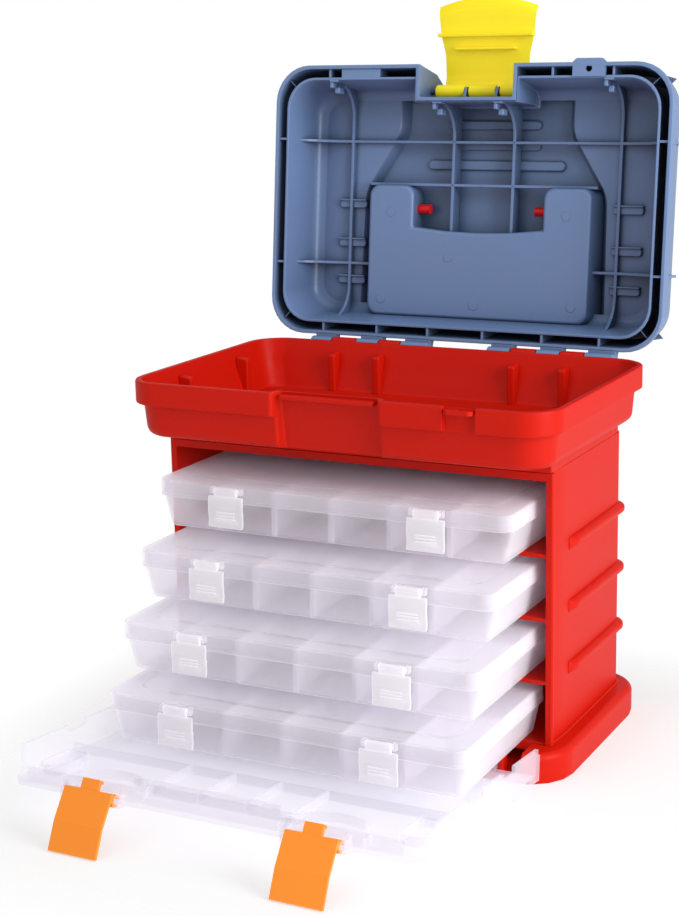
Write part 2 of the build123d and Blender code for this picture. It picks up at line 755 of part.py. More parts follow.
def front_cover():
    low = cover_plate_top - cover_thickness
    half = cover_half_width
    front = -cover_length
    body = block((-half, half), (front, cover_start), (low, cover_plate_top))
    body = fillet(upright_edges(body, 0), cover_corner)
    # Side flanges with their steps, and the feet under them
    side_front = front + cover_corner
    pitch = (cover_length - 20) / 4
    for side in (-1, 1):
        flange = (side * half, side * (half - cover_flange))
        body += block(flange, (side_front, cover_start), (low, cover_flange_top - 4))
        for limits in ((side_front, -110.0), (-92.0, -62.0), (-46.0, -10.0)):
            body += block(flange, limits, (cover_flange_top - 5, cover_flange_top))
        for k in range(4):
            centre = -12 - pitch * (k + 0.5)
            limits = (centre - pitch / 2 + 1.5, centre + pitch / 2 - 1.5)
            across = (side * half, side * (half - cover_lobe_width))
            lobe = block(across, limits, (low - cover_lobe_drop, low + join))
            body += chamfer(lobe.edges().filter_by(Axis.Z), 3.5)
    edge = (front, front + cover_flange)
    body += block((-half + cover_corner, half - cover_corner), edge, (low, cover_plate_top + 9))
    body += block((-46, 46), edge, (low, cover_flange_top - 2))
    # Ribs inside, toward the free edge
    top = cover_plate_top + cover_rib_height
    rib = (cover_plate_top - join, top)
    body += block((-half + 1, half - 1), (cover_rib_start - cover_rib, cover_rib_start), rib)
    body += block((-44, 44), (cover_rib_end, cover_rib_end + cover_rib), rib)
    for x in (-44.0, -15.0, 15.0, 44.0):
        body += block((x - cover_rib / 2, x + cover_rib / 2), (cover_rib_end, cover_rib_start), rib)
    knuckle_radius_here = cover_rod_radius + cover_knuckle_wall
    for side in (-1, 1):
        centre = side * cover_latch_x
        arc = Pos(centre, front + 4, rib[0]) * extrude(Circle(26) - Circle(26 - cover_rib), top - rib[0])
        body += arc & block((-half, half), (front, cover_rib_start), rib)
        pocket = RectangleRounded(17, 32, 6)
        pocket -= RectangleRounded(17 - 2 * cover_rib, 32 - 2 * cover_rib, 6 - cover_rib)
        body += Pos(side * (half - 16), -134, rib[0]) * extrude(pocket, top - rib[0])
        # Window, lugs and rod for the latch
        through = (low - over, cover_plate_top + over)
        body -= block((centre - 14, centre + 14), (front + 4, front + 15), through)
        lug = [(front + join, low), (latch_axis_y - 2.4, cover_latch_drop - 3),
               (latch_axis_y - 2.8, cover_latch_drop + 2.2), (front + join, cover_latch_drop + 7)]
        for edge in (-1, 1):
            x = centre + edge * (latch_lug_half + 1.5)
            body += along_x(lug, (x - 1.5, x + 1.5))
        across = (centre - latch_lug_half - 1, centre + latch_lug_half + 1)
        body += rod(across, latch_axis_y, cover_latch_drop, cover_latch_rod)
        # Hinge knuckle
        hinge = side * cover_hinge_x
        span = (hinge - cover_hinge_width / 2 + join, hinge + cover_hinge_width / 2 - join)
        knuckle = rod(span, 0, 0, knuckle_radius_here)
        knuckle += block(span, (cover_start - over, -1.5), (cover_plate_top - over, -over))
        knuckle += block(span, (cover_start - over, cover_start + 2), (low, -over))
        body += knuckle - rod(span, 0, 0, cover_rod_radius + pin_clearance)
    return open_cover(body)


def cover_latch(side):
    """A snap latch: curved plate, two split knuckles and a tongue between them."""
    x = side * cover_latch_x
    half = cover_latch_width / 2
    knuckle = cover_latch_knuckle
    outer = -knuckle - cover_latch_thickness
    length = cover_latch_length
    profile = [(-knuckle, knuckle - 0.4), (outer, knuckle - 0.8), (outer - 1.2, -length / 2),
               (outer + 1.0, -length), (outer + 1.0 + cover_latch_thickness, -length + 0.5),
               (-knuckle - 1.2, -length / 2)]
    body = along_x(profile, (x - half, x + half))
    tongue = tongue_width / 2
    middle = (x - tongue, x + tongue)
    for low, high in ((x - half, x - tongue - tongue_slot), (x + tongue + tongue_slot, x + half)):
        body += rod((low, high), 0, 0, knuckle)
        body += block((low, high), (-knuckle - join, 0), (-tongue_slot, tongue_slot))
    body += block(middle, (outer + 0.4, -cover_latch_rod - 0.4), (0, tongue_length))
    body += block(middle, (outer + 0.4, -join), (tongue_length - cover_latch_thickness, tongue_length))
    body -= rod((x - half - over, x + half + over), 0, 0, cover_latch_rod + pin_clearance)
    # The snap mouth of the two knuckles
    body -= block((x - half - over, x + half + over), (0, knuckle + over), (-snap_mouth, snap_mouth))
    leaned = Rot(cover_tilt - cover_latch_lean, 0, 0) * body
    return open_cover(Pos(0, latch_axis_y, cover_latch_drop) * leaned)


# Nodes
os.makedirs("parts", exist_ok=True)


def keep(name, shapes):
    """Write one sub-part, as one solid or as a group of them."""
    solids = []
    for shape in shapes if isinstance(shapes, list) else [shapes]:
        solids += shape.solids()
    whole = solids[0] if len(solids) == 1 else Compound(children=solids)
    whole.label = name
    export_step(whole, f"parts/{name}.step")
    print(name, len(solids), "solids", round(sum(s.volume for s in solids) / 1000, 1), "cm3")


keep("base_plinth", base_plinth())
keep("cabinet_shell", cabinet_shell())
keep("top_bin", top_bin())
keep("lid_shell", lid_shell())
keep("lid_hinge_pin_left", lid_hinge_pin(lid_knuckle_spans()[:3]))
keep("lid_hinge_pin_right", lid_hinge_pin(lid_knuckle_spans()[3:]))
keep("carry_handle", carry_handle())
keep("lid_latch", lid_latch())
keep("lid_latch_pin", lid_latch_pin())
keep("front_cover", front_cover())
for side, name in ((-1, "left"), (1, "right")):
    keep(f"cover_latch_{name}", cover_latch(side))

tray, lid, dividers = case_tray(), case_lid(), case_dividers()
clips = {"left": case_clip(-1), "right": case_clip(1)}
for number, (front, top) in enumerate(zip(case_fronts, case_tops), start=1):
    place = Pos(0, front, top - case_height)
    keep(f"case_{number}_tray", place * tray)
    keep(f"case_{number}_lid", place * lid)
    keep(f"case_{number}_dividers", [place * wall_piece for wall_piece in dividers])
    for name, clip in clips.items():
        keep(f"case_{number}_clip_{name}", place * clip)
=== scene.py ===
# Small parts tool box, dressed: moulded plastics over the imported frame, seen as in the photograph.
# All sizes are in millimetres until a piece is made. +X is right, the front faces -Y, +Z is up.
from math import acos, cos, pi, radians, sin

import bpy
import numpy as np
from mathutils import Matrix, Vector
from mathutils.geometry import delaunay_2d_cdt


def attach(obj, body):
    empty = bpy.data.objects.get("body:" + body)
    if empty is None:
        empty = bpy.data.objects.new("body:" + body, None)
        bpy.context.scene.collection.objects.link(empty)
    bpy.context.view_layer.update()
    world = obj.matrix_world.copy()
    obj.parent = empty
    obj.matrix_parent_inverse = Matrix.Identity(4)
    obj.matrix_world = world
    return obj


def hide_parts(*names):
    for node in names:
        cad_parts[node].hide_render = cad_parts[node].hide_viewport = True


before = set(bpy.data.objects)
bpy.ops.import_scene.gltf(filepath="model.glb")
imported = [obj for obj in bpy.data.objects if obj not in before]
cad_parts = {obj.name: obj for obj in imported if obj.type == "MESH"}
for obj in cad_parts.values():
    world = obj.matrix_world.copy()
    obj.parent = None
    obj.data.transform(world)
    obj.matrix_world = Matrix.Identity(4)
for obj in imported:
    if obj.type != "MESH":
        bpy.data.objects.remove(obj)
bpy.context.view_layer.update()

mm = 0.001
scene = bpy.context.scene


# A loop with rounded corners: each corner becomes an arc between its two tangent points. With the
# half angle a at the corner, the tangent points lie r / tan(a) along the edges, the centre lies
# r / sin(a) along the bisector, and the arc is the slerp of the two radii.
def roundedLoop(corners, radii, steps=5):
    point = np.asarray(corners, float)
    back = np.roll(point, 1, axis=0) - point
    ahead = np.roll(point, -1, axis=0) - point
    backLength = np.linalg.norm(back, axis=1, keepdims=True).clip(1e-9)
    aheadLength = np.linalg.norm(ahead, axis=1, keepdims=True).clip(1e-9)
    u, v = back / backLength, ahead / aheadLength
    half = np.arccos((u * v).sum(1, keepdims=True).clip(-1, 1)) / 2
    half = half.clip(1e-3, pi / 2 - 1e-4)
    reach = np.asarray(radii, float).reshape(-1, 1) / np.tan(half)
    reach = np.minimum(reach, 0.49 * np.minimum(backLength, aheadLength))
    radius = reach * np.tan(half)
    bisector = u + v
    bisector = bisector / np.linalg.norm(bisector, axis=1, keepdims=True).clip(1e-9)
    centre = point + bisector * radius / np.sin(half)
    start, end = point + u * reach - centre, point + v * reach - centre
    sweep = pi - 2 * half
    share = np.linspace(0, 1, steps + 1).reshape(1, -1, 1)
    sweep = sweep[:, None, :]
    first = np.sin((1 - share) * sweep) / np.sin(sweep)
    second = np.sin(share * sweep) / np.sin(sweep)
    arcs = centre[:, None, :] + first * start[:, None, :] + second * end[:, None, :]
    return arcs.reshape(-1, 2)


# An outline moved inwards: each corner goes along the sum of its two edge normals,
# distance * (n1 + n2) / (1 + n1.n2). Also says which corners are convex.
def movedIn(corners, distance):
    point = np.asarray(corners, float)
    ahead = np.roll(point, -1, axis=0) - point
    ahead = ahead / np.linalg.norm(ahead, axis=1, keepdims=True).clip(1e-9)
    before = np.roll(ahead, 1, axis=0)
    n1 = np.stack([-before[:, 1], before[:, 0]], 1)
    n2 = np.stack([-ahead[:, 1], ahead[:, 0]], 1)
    convex = before[:, 0] * ahead[:, 1] - before[:, 1] * ahead[:, 0] > 0
    scale = 1 + (n1 * n2).sum(1, keepdims=True)
    return point + distance * (n1 + n2) / scale.clip(0.2), convex


# A flat outline lifted to height z.
def raised(points, z):
    return np.column_stack([points, np.full(len(points), z)])


def anticlockwise(corners, radii):
    point = np.asarray(corners, float)
    nextPoint = np.roll(point, -1, axis=0)
    radius = np.broadcast_to(np.asarray(radii, float), len(point))
    area = (point[:, 0] * nextPoint[:, 1] - point[:, 1] * nextPoint[:, 0]).sum()
    return (point, radius) if area > 0 else (point[::-1], radius[::-1])


# One level of an outline: moved in by inset, its corner radii less by inset where convex and more
# where hollow, at height z.
def level(corners, radii, inset, z, steps=5):
    moved, convex = movedIn(corners, inset)
    radius = np.where(convex, radii - inset, radii + inset).clip(0.15)
    return raised(roundedLoop(moved, radius, steps), z)


# Quads between loops of the same length, and a flat face over the first and the last if asked.
def skin(loops, capFirst=False, capLast=False):
    loops = np.asarray(loops, float)
    rows, count = loops.shape[:2]
    here = np.arange(count)
    after = (here + 1) % count
    row = np.arange(rows - 1)[:, None] * count
    quads = np.stack([row + here, row + after, row + count + after, row + count + here], -1)
    faces = quads.reshape(-1, 4).tolist()
    if capFirst:
        faces.append(here[::-1].tolist())
    if capLast:
        faces.append(((rows - 1) * count + here).tolist())
    return loops.reshape(-1, 3), faces


# An open line of points with each inner corner softened: the corner is replaced by the curve
# (1-t)^2 A + 2t(1-t) B + t^2 C between points A and C at its radius along both sides.
def soften(points, radii, steps=4):
    point = np.asarray(points, float)
    radii = np.broadcast_to(np.asarray(radii, float), len(point))
    line = [point[:1]]
    share = np.linspace(0, 1, steps + 1)[:, None]
    for before, corner, after, radius in zip(point[:-2], point[1:-1], point[2:], radii[1:-1]):
        if radius <= 0:
            line.append(corner[None])
            continue
        first, second = before - corner, after - corner
        a = corner + first * min(radius / np.linalg.norm(first).clip(1e-9), 0.49)
        c = corner + second * min(radius / np.linalg.norm(second).clip(1e-9), 0.49)
        line.append((1 - share) ** 2 * a + 2 * share * (1 - share) * corner + share ** 2 * c)
    line.append(point[-1:])
    return np.concatenate(line)


# A profile of (inset, z) points carried round an outline.
def carried(corners, radii, profile, capFirst=True, capLast=True, steps=5):
    corners, radii = anticlockwise(corners, radii)
    return skin([level(corners, radii, inset, z, steps) for inset, z in profile], capFirst, capLast)


axisOrder = {"z": (0, 1, 2), "x": (2, 0, 1), "y": (1, 2, 0)}


# A slab with rounded rims: its outline lies across the axis, the rim is a quarter arc of radius edge.
# Across x the outline is in (y, z), across y in (z, x), across z in (x, y).
def slab(corners, radii, low, high, edge=0.5, axis="z", steps=4, rim=3):
    turn = np.linspace(0, pi / 2, rim + 1)
    edge = min(edge, 0.45 * (high - low))
    foot = [(edge * (1 - sin(t)), low + edge * (1 - cos(t))) for t in turn]
    head = [(edge * (1 - cos(t)), high - edge * (1 - sin(t))) for t in turn]
    vertices, faces = carried(corners, radii, foot + head, steps=steps)
    return vertices[:, axisOrder[axis]], faces


# Two limits at the same distance from the middle.
def around(middle, half):
    return middle - half, middle + half


def boxCorners(x, y):
    return [(x[0], y[0]), (x[1], y[0]), (x[1], y[1]), (x[0], y[1])]


def block(x, y, z, edge=0.5, corner=0.5):
    return slab(boxCorners(x, y), corner, z[0], z[1], edge, steps=3)


# A round bar along x: circles (cos t, sin t) * radius, with a rim arc at each end.
def rod(x, y, z, radius, edge=0.4, count=24):
    turn = np.linspace(0, pi / 2, 4)
    edge = min(edge, 0.45 * (x[1] - x[0]), 0.9 * radius)
    stations = [(x[0] + edge * (1 - cos(t)), radius - edge * (1 - sin(t))) for t in turn]
    stations += [(x[1] - edge * (1 - sin(t)), radius - edge * (1 - cos(t))) for t in turn]
    angle = np.linspace(0, 2 * pi, count, endpoint=False)
    circle = np.column_stack([np.cos(angle), np.sin(angle)])
    loops = [raised(circle * r + (y, z), s)[:, axisOrder["x"]] for s, r in stations]
    return skin(loops, True, True)


# A flat face between an outer loop and holes in it, all at one height, as triangles. Up or down.
def flatFace(outer, holes, up=True):
    z = float(outer[0][2])
    rings = [np.asarray(ring)[:, :2] for ring in [outer] + list(holes)]
    points = np.concatenate(rings)
    starts = np.cumsum([0] + [len(ring) for ring in rings])
    edges = [(s + k, s + (k + 1) % len(ring)) for s, ring in zip(starts, rings) for k in range(len(ring))]
    corners, _, triangles, _, _, _ = delaunay_2d_cdt([Vector(p) for p in points], edges, [], 1, 1e-6)
    flat = np.array([tuple(p) for p in corners])
    kept = []
    for triangle in triangles:
        middle = flat[list(triangle)].mean(0)
        if not any(inside(middle, ring) for ring in rings[1:]):
            kept.append(list(triangle) if up else list(triangle)[::-1])
    return raised(flat, z), kept


# Even-odd rule: a ray to +x crosses the ring an odd number of times.
def inside(point, ring):
    a, b = ring, np.roll(ring, -1, axis=0)
    crosses = (a[:, 1] > point[1]) != (b[:, 1] > point[1])
    run = np.where(crosses, b[:, 1] - a[:, 1], 1.0)
    x = a[:, 0] + (point[1] - a[:, 1]) * (b[:, 0] - a[:, 0]) / run
    return bool((crosses & (x > point[0])).sum() % 2)


def gathered(parts):
    vertices, faces, start = [], [], 0
    for points, polygons in parts:
        vertices.append(points)
        faces += [[start + k for k in polygon] for polygon in polygons]
        start += len(points)
    return np.concatenate(vertices), faces


# The same skin with its faces turned to look the other way.
def turnedOver(part):
    points, faces = part
    return points, [face[::-1] for face in faces]


def mirrored(part):
    points, faces = turnedOver(part)
    return points * (-1, 1, 1), faces


def bothSides(parts):
    return list(parts) + [mirrored(part) for part in parts]


# Points turned by an angle about the line along x through (y, z).
def turned(points, angle, y, z):
    c, s = cos(angle), sin(angle)
    across, up = points[:, 1] - y, points[:, 2] - z
    return np.column_stack([points[:, 0], y + across * c - up * s, z + across * s + up * c])


def makePiece(name, parts, body, material, replaced=(), place=None, sharpest=38):
    vertices, faces = gathered(parts)
    if place is not None:
        vertices = place(vertices)
    mesh = bpy.data.meshes.new(name)
    mesh.from_pydata((vertices * mm).tolist(), [], faces)
    mesh.validate()
    piece = bpy.data.objects.new(name, mesh)
    scene.collection.objects.link(piece)
    mesh.shade_smooth()
    mesh.set_sharp_from_angle(angle=radians(sharpest))
    mesh.materials.append(material)
    evened = piece.modifiers.new("evened", "WEIGHTED_NORMAL")
    evened.keep_sharp = True
    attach(piece, body)
    if replaced:
        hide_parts(*replaced)
    return piece


# Camera and light
cameraValues = {
    "azimuth": 27.4, "elevation": 13.2, "roll": -1.294,   # degrees
    "distance": 1168.1, "target": (-39.8, 0.0, 165.4),
    "focal": 1821.8, "tall": 916.0,                      # pixels over the picture's long side
}


def makeCamera(values):
    turn, rise, roll = (radians(values[key]) for key in ("azimuth", "elevation", "roll"))
    forward = Vector((-sin(turn) * cos(rise), cos(turn) * cos(rise), -sin(rise)))
    right = forward.cross(Vector((0, 0, 1))).normalized()
    up = right.cross(forward)
    rolledRight = right * cos(roll) + up * sin(roll)
    rolledUp = up * cos(roll) - right * sin(roll)
    place = (Vector(values["target"]) - forward * values["distance"]) * mm
    data = bpy.data.cameras.new("camera")
    data.sensor_fit, data.sensor_width = "VERTICAL", 36.0
    data.sensor_height = 36.0
    data.lens = data.sensor_height * values["focal"] / values["tall"]
    camera = bpy.data.objects.new("camera", data)
    scene.collection.objects.link(camera)
    axes = Matrix((rolledRight, rolledUp, -forward)).transposed()
    camera.matrix_world = Matrix.Translation(place) @ axes.to_4x4()
    scene.camera = camera


lampValues = {
    "right": {"at": (1150, -330, 560), "aim": (40, 0, 180), "size": (650, 850), "power": 13.4},
    "front": {"at": (-500, -1300, 700), "aim": (0, -60, 150), "size": (1100, 900), "power": 1.6},
    "top": {"at": (0, -350, 1400), "aim": (0, 0, 150), "size": (1200, 1200), "power": 3.5},
}


def makeLamp(name, values):
    data = bpy.data.lights.new(name, "AREA")
    data.shape = "RECTANGLE"
    data.size, data.size_y = (side * mm for side in values["size"])
    data.energy = values["power"]
    lamp = bpy.data.objects.new(name, data)
    scene.collection.objects.link(lamp)
    start, aim = Vector(values["at"]) * mm, Vector(values["aim"]) * mm
    lamp.location = start
    lamp.rotation_euler = (aim - start).to_track_quat("-Z", "Y").to_euler()


# Nodes wired by name: add(type, input=value or socket) returns the node.
class Tree:
    def __init__(self, tree):
        self.tree = tree
        self.tree.nodes.clear()

    def add(self, kind, settings=None, **inputs):
        node = self.tree.nodes.new(kind)
        for key, value in (settings or {}).items():
            setattr(node, key, value)
        for key, value in inputs.items():
            socket = node.inputs[int(key[1:]) if key[1:].isdigit() else key.replace("_", " ")]
            if isinstance(value, bpy.types.NodeSocket):
                self.tree.links.new(value, socket)
            else:
                socket.default_value = value
        return node

    def maths(self, operation, first, second=0.0, third=0.0):
        return self.add("ShaderNodeMath", {"operation": operation}, i0=first, i1=second, i2=third).outputs[0]

    def mixed(self, share, first, second, blend="MIX"):
        settings = {"data_type": "RGBA", "blend_type": blend}
        return self.add("ShaderNodeMix", settings, i0=share, i6=first, i7=second).outputs[2]

    def ranged(self, value, low, high, toLow=0.0, toHigh=1.0):
        return self.add("ShaderNodeMapRange", None, i0=value, i1=low, i2=high, i3=toLow, i4=toHigh).outputs[0]

    def vector(self, operation, first, second=(0.0, 0.0, 0.0)):
        return self.add("ShaderNodeVectorMath", {"operation": operation}, i0=first, i1=second)


def makeWorld(strength):
    world = bpy.data.worlds.new("world")
    scene.world = world
    world.use_nodes = True
    tree = Tree(world.node_tree)
    path = tree.add("ShaderNodeLightPath")
    seen = tree.maths("MAXIMUM", path.outputs["Is Camera Ray"], path.outputs["Is Transmission Ray"])
    glow = tree.ranged(seen, 0.0, 1.0, strength, 1.0)
    sky = tree.add("ShaderNodeBackground", None, Color=(1, 1, 1, 1), Strength=glow)
    tree.add("ShaderNodeOutputWorld", None, Surface=sky.outputs[0])


skyStrength = 0.5
floorValues = {
    "radius": 1500.0, "low": -0.05, "tone": 0.93,
    "half": 145.0, "front": -255.0, "back": 90.0,             # the object's footprint
    "clearFrom": 4.0, "clearTo": 90.0, "leastClear": 0.5,
}


# A disc of rings under the object. For the camera it fades into the white world with the distance
# sqrt(max(|x| - half, 0)^2 + max(|y - middle| - depth, 0)^2) from the object's footprint.
def makeFloor(values):
    angle = np.linspace(0, 2 * pi, 64, endpoint=False)
    rings = [values["radius"] * share for share in (0.02, 0.2, 0.5, 1.0)]
    circle = np.column_stack([np.cos(angle), np.sin(angle)])
    loops = [raised(circle * radius, values["low"]) for radius in rings[::-1]]
    vertices, faces = skin(loops, False, True)
    mesh = bpy.data.meshes.new("floor")
    mesh.from_pydata((vertices * mm).tolist(), [], faces)
    piece = bpy.data.objects.new("floor", mesh)
    scene.collection.objects.link(piece)
    material = bpy.data.materials.new("floor")
    material.use_nodes = True
    tree = Tree(material.node_tree)
    place = tree.add("ShaderNodeTexCoord").outputs["Object"]
    middle, depth = (values["front"] + values["back"]) / 2, (values["back"] - values["front"]) / 2
    moved = tree.vector("SUBTRACT", place, (0, middle * mm, 0)).outputs[0]
    folded = tree.vector("ABSOLUTE", moved).outputs[0]
    past = tree.vector("SUBTRACT", folded, (values["half"] * mm, depth * mm, 0)).outputs[0]
    outside = tree.vector("MAXIMUM", past).outputs[0]
    away = tree.vector("LENGTH", outside).outputs["Value"]
    seen = tree.add("ShaderNodeLightPath").outputs["Is Camera Ray"]
    faded = tree.ranged(away, values["clearFrom"] * mm, values["clearTo"] * mm, values["leastClear"], 1.0)
    clearness = tree.maths("MULTIPLY", seen, faded)
    surface = tree.add("ShaderNodeBsdfDiffuse", None, Color=(values["tone"],) * 3 + (1,))
    clear = tree.add("ShaderNodeBsdfTransparent")
    blend = tree.add("ShaderNodeMixShader", None, i0=clearness, i1=surface.outputs[0], i2=clear.outputs[0])
    tree.add("ShaderNodeOutputMaterial", None, Surface=blend.outputs[0])
    mesh.materials.append(material)


# Shader groups, each built once
def newGroup(name, inputs, outputs):
    group = bpy.data.node_groups.new(name, "ShaderNodeTree")
    for label, kind, value in inputs:
        socket = group.interface.new_socket(label, in_out="INPUT", socket_type=kind)
        if value is not None:
            socket.default_value = value
    for label, kind in outputs:
        group.interface.new_socket(label, in_out="OUTPUT", socket_type=kind)
    tree = Tree(group)
    return group, tree, tree.add("NodeGroupInput"), tree.add("NodeGroupOutput")


# Moulded grain: small leather-like cells with softer pits over them, height = 0.65 * distance to the
# cell's middle + 0.5 * noise.
def grainGroup():
    group, tree, given, result = newGroup(
        "mouldGrain", [("Cell", "NodeSocketFloat", 1.0)], [("Height", "NodeSocketFloat")])
    place = tree.add("ShaderNodeTexCoord").outputs["Object"]
    size = tree.maths("DIVIDE", 1.0 / mm, given.outputs["Cell"])
    cells = tree.add("ShaderNodeTexVoronoi", {"feature": "SMOOTH_F1"}, Vector=place, Scale=size)
    wider = tree.maths("MULTIPLY", size, 0.6)
    pits = tree.add("ShaderNodeTexNoise", None, Vector=place, Scale=wider, Detail=3.0)
    both = tree.maths("ADD", tree.maths("MULTIPLY", cells.outputs["Distance"], 0.65),
                      tree.maths("MULTIPLY", pits.outputs["Fac"], 0.5))
    tree.tree.links.new(both, result.inputs["Height"])
    return group


# Mould tone: a factor near 1 for colour and roughness, 1 + amount * (0.75 * broad noise + 0.25 * fine
# noise - 0.5).
def toneGroup():
    group, tree, given, result = newGroup(
        "mouldTone", [("Amount", "NodeSocketFloat", 0.1)], [("Tone", "NodeSocketFloat")])
    place = tree.add("ShaderNodeTexCoord").outputs["Object"]
    broad = tree.add("ShaderNodeTexNoise", None, Vector=place, Scale=9.0, Detail=2.0).outputs["Fac"]
    fine = tree.add("ShaderNodeTexNoise", None, Vector=place, Scale=260.0, Detail=2.0).outputs["Fac"]
    both = tree.maths("ADD", tree.maths("MULTIPLY", broad, 0.75), tree.maths("MULTIPLY", fine, 0.25))
    spread = tree.maths("MULTIPLY", tree.maths("SUBTRACT", both, 0.5), given.outputs["Amount"])
    tree.tree.links.new(tree.maths("ADD", 1.0, spread), result.inputs["Tone"])
    return group


# hollow is the strength of painted shade: how far the colour darkens in recesses where other walls close it
# in.
plasticValues = {
    "red": {"colour": (0.58, 0.009, 0.0015), "roughness": 0.42, "gloss": 0.13, "cell": 0.9,
            "depth": 0.05, "tone": 0.16, "hollow": 0.0},
    "handleRed": {"colour": (0.62, 0.008, 0.006), "roughness": 0.3, "gloss": 0.3, "cell": 1.4,
            "depth": 0.02, "tone": 0.1, "hollow": 0.0},
    "slate": {"colour": (0.155, 0.245, 0.445), "roughness": 0.3, "gloss": 0.3, "cell": 1.1,
            "depth": 0.015, "tone": 0.14, "hollow": 0.74},
    "yellow": {"colour": (1.0, 0.82, 0.012), "roughness": 0.28, "gloss": 0.3, "cell": 1.2,
            "depth": 0.01, "tone": 0.08, "hollow": 0.0},
    "orange": {"colour": (1.0, 0.29, 0.02), "roughness": 0.3, "gloss": 0.3, "cell": 1.2,
            "depth": 0.012, "tone": 0.08, "hollow": 0.0},
}


# Painted shade in recesses: how far the occlusion looks, and the occlusion range that is mapped onto the
# darkening.
paintedShadeReach = 60.0   # how far a wall looks for others that close it in
paintedShadeFrom, paintedShadeTo = 0.15, 0.85


# Opaque plastic: toned and grained, with painted shade where other walls close it in: an ambient occlusion
# mask darkens the colour by up to its hollow share.
def plastic(name, values):
    material = bpy.data.materials.new(name)
    material.use_nodes = True
    tree = Tree(material.node_tree)
    tone = tree.add("ShaderNodeGroup", {"node_tree": groups["tone"]}, Amount=values["tone"]).outputs["Tone"]
    grain = tree.add("ShaderNodeGroup", {"node_tree": groups["grain"]}, Cell=values["cell"]).outputs["Height"]
    shade = tree.mixed(1.0, values["colour"] + (1,), tone, "MULTIPLY")
    # Painted shade: ambient occlusion darkens the colour in recesses by up to the hollow share.
    if values["hollow"] > 0:
        seen = tree.add("ShaderNodeAmbientOcclusion", {"samples": 6}, Distance=paintedShadeReach * mm).outputs["AO"]
        paintedShade = tree.ranged(seen, paintedShadeFrom, paintedShadeTo, 1 - values["hollow"], 1.0)
        shade = tree.mixed(1.0, shade, paintedShade, "MULTIPLY")
    rough = tree.maths("MULTIPLY", tone, values["roughness"])
    bump = tree.add("ShaderNodeBump", None, Strength=1.0, Distance=values["depth"] * mm, Height=grain)
    body = tree.add("ShaderNodeBsdfPrincipled", None, Base_Color=shade, Roughness=rough,
                    Normal=bump.outputs[0], Specular_IOR_Level=values["gloss"])
    tree.add("ShaderNodeOutputMaterial", None, Surface=body.outputs[0])
    return material


clearValues = {
    "case": {"colour": (0.985, 0.965, 1.0), "roughness": 0.22, "face": 0.28, "edge": 0.97, "shade": 0.02},
    "cover": {"colour": (0.94, 0.93, 0.99), "roughness": 0.25, "face": 0.13, "edge": 0.9, "shade": 0.08},
    "clip": {"colour": (1.0, 0.99, 1.0), "roughness": 0.3, "face": 0.62, "edge": 0.9, "shade": 0.4},
}
clearTint = (0.99, 0.985, 1.0, 1)
filmCurve = 2.5   # how late the film thickens toward the grazing view
deepest = 12.0    # see-through layers after which the film is taken as solid


# Clear plastic: a milky film over clearness, film = face + (edge - face) * facing^filmCurve, where facing
# runs from 0 seen straight on to 1 seen along the wall.
def clearPlastic(name, values):
    material = bpy.data.materials.new(name)
    material.use_nodes = True
    tree = Tree(material.node_tree)
    tone = tree.add("ShaderNodeGroup", {"node_tree": groups["tone"]}, Amount=0.06).outputs["Tone"]
    shade = tree.mixed(1.0, values["colour"] + (1,), tone, "MULTIPLY")
    facing = tree.add("ShaderNodeLayerWeight", None, Blend=0.5).outputs["Facing"]
    film = tree.ranged(tree.maths("POWER", facing, filmCurve), 0.0, 1.0, values["face"], values["edge"])
    path = tree.add("ShaderNodeLightPath")
    solid = tree.maths("GREATER_THAN", path.outputs["Transparent Depth"], deepest)
    shadow = tree.ranged(path.outputs["Is Shadow Ray"], 0.0, 1.0, 1.0, values["shade"])
    film = tree.maths("MULTIPLY", tree.maths("MAXIMUM", film, solid), shadow)
    front = tree.add("ShaderNodeBsdfPrincipled", None, Base_Color=shade, Roughness=values["roughness"])
    through = tree.add("ShaderNodeBsdfTranslucent", None, Color=shade)
    milk = tree.add("ShaderNodeMixShader", None, Fac=0.5, i1=front.outputs[0], i2=through.outputs[0])
    clear = tree.add("ShaderNodeBsdfTransparent", None, Color=clearTint)
    body = tree.add("ShaderNodeMixShader", None, Fac=film, i1=clear.outputs[0], i2=milk.outputs[0])
    tree.add("ShaderNodeOutputMaterial", None, Surface=body.outputs[0])
    return material


scene.view_settings.view_transform = "Standard"
makeCamera(cameraValues)
for lampName, lampSizes in lampValues.items():
    makeLamp(lampName, lampSizes)
makeWorld(skyStrength)
makeFloor(floorValues)
groups = {"grain": grainGroup(), "tone": toneGroup()}
materials = {name: plastic(name + "Plastic", values) for name, values in plasticValues.items()}
materials.update({name: clearPlastic(name + "Clear", values) for name, values in clearValues.items()})
print("stage, camera and materials made")


# Parts cases, each drawn with its front on y = 0 and its bottom on z = 0
caseValues = {
    "fronts": (-96.5, -121.6, -144.3, -162.5), "bottoms": (135.9, 97.2, 58.5, 19.8),
    "width": 234.5, "depth": 124.0, "height": 31.0, "corner": 9.0,
    "wall": 1.4, "skirt": 20.5, "rim": 1.9, "trayTop": 29.3, "trayInset": 2.2, "draft": 3.5, "bend": 3.2,
    "panelInset": 15.0, "panelCorner": 8.0, "panelRise": 0.75,
    "slotWall": 0.8, "slotDepth": 1.3, "divider": 1.1, "middleWall": 1.4, "cells": 6,
    "clipAt": 66.0, "earAt": 9.4, "hingeBack": 2.3, "hingeDrop": 3.2, "catch": (11.3, 13.3),
}


def caseOutline(v):
    return boxCorners((-v["width"] / 2, v["width"] / 2), (0, v["depth"]))


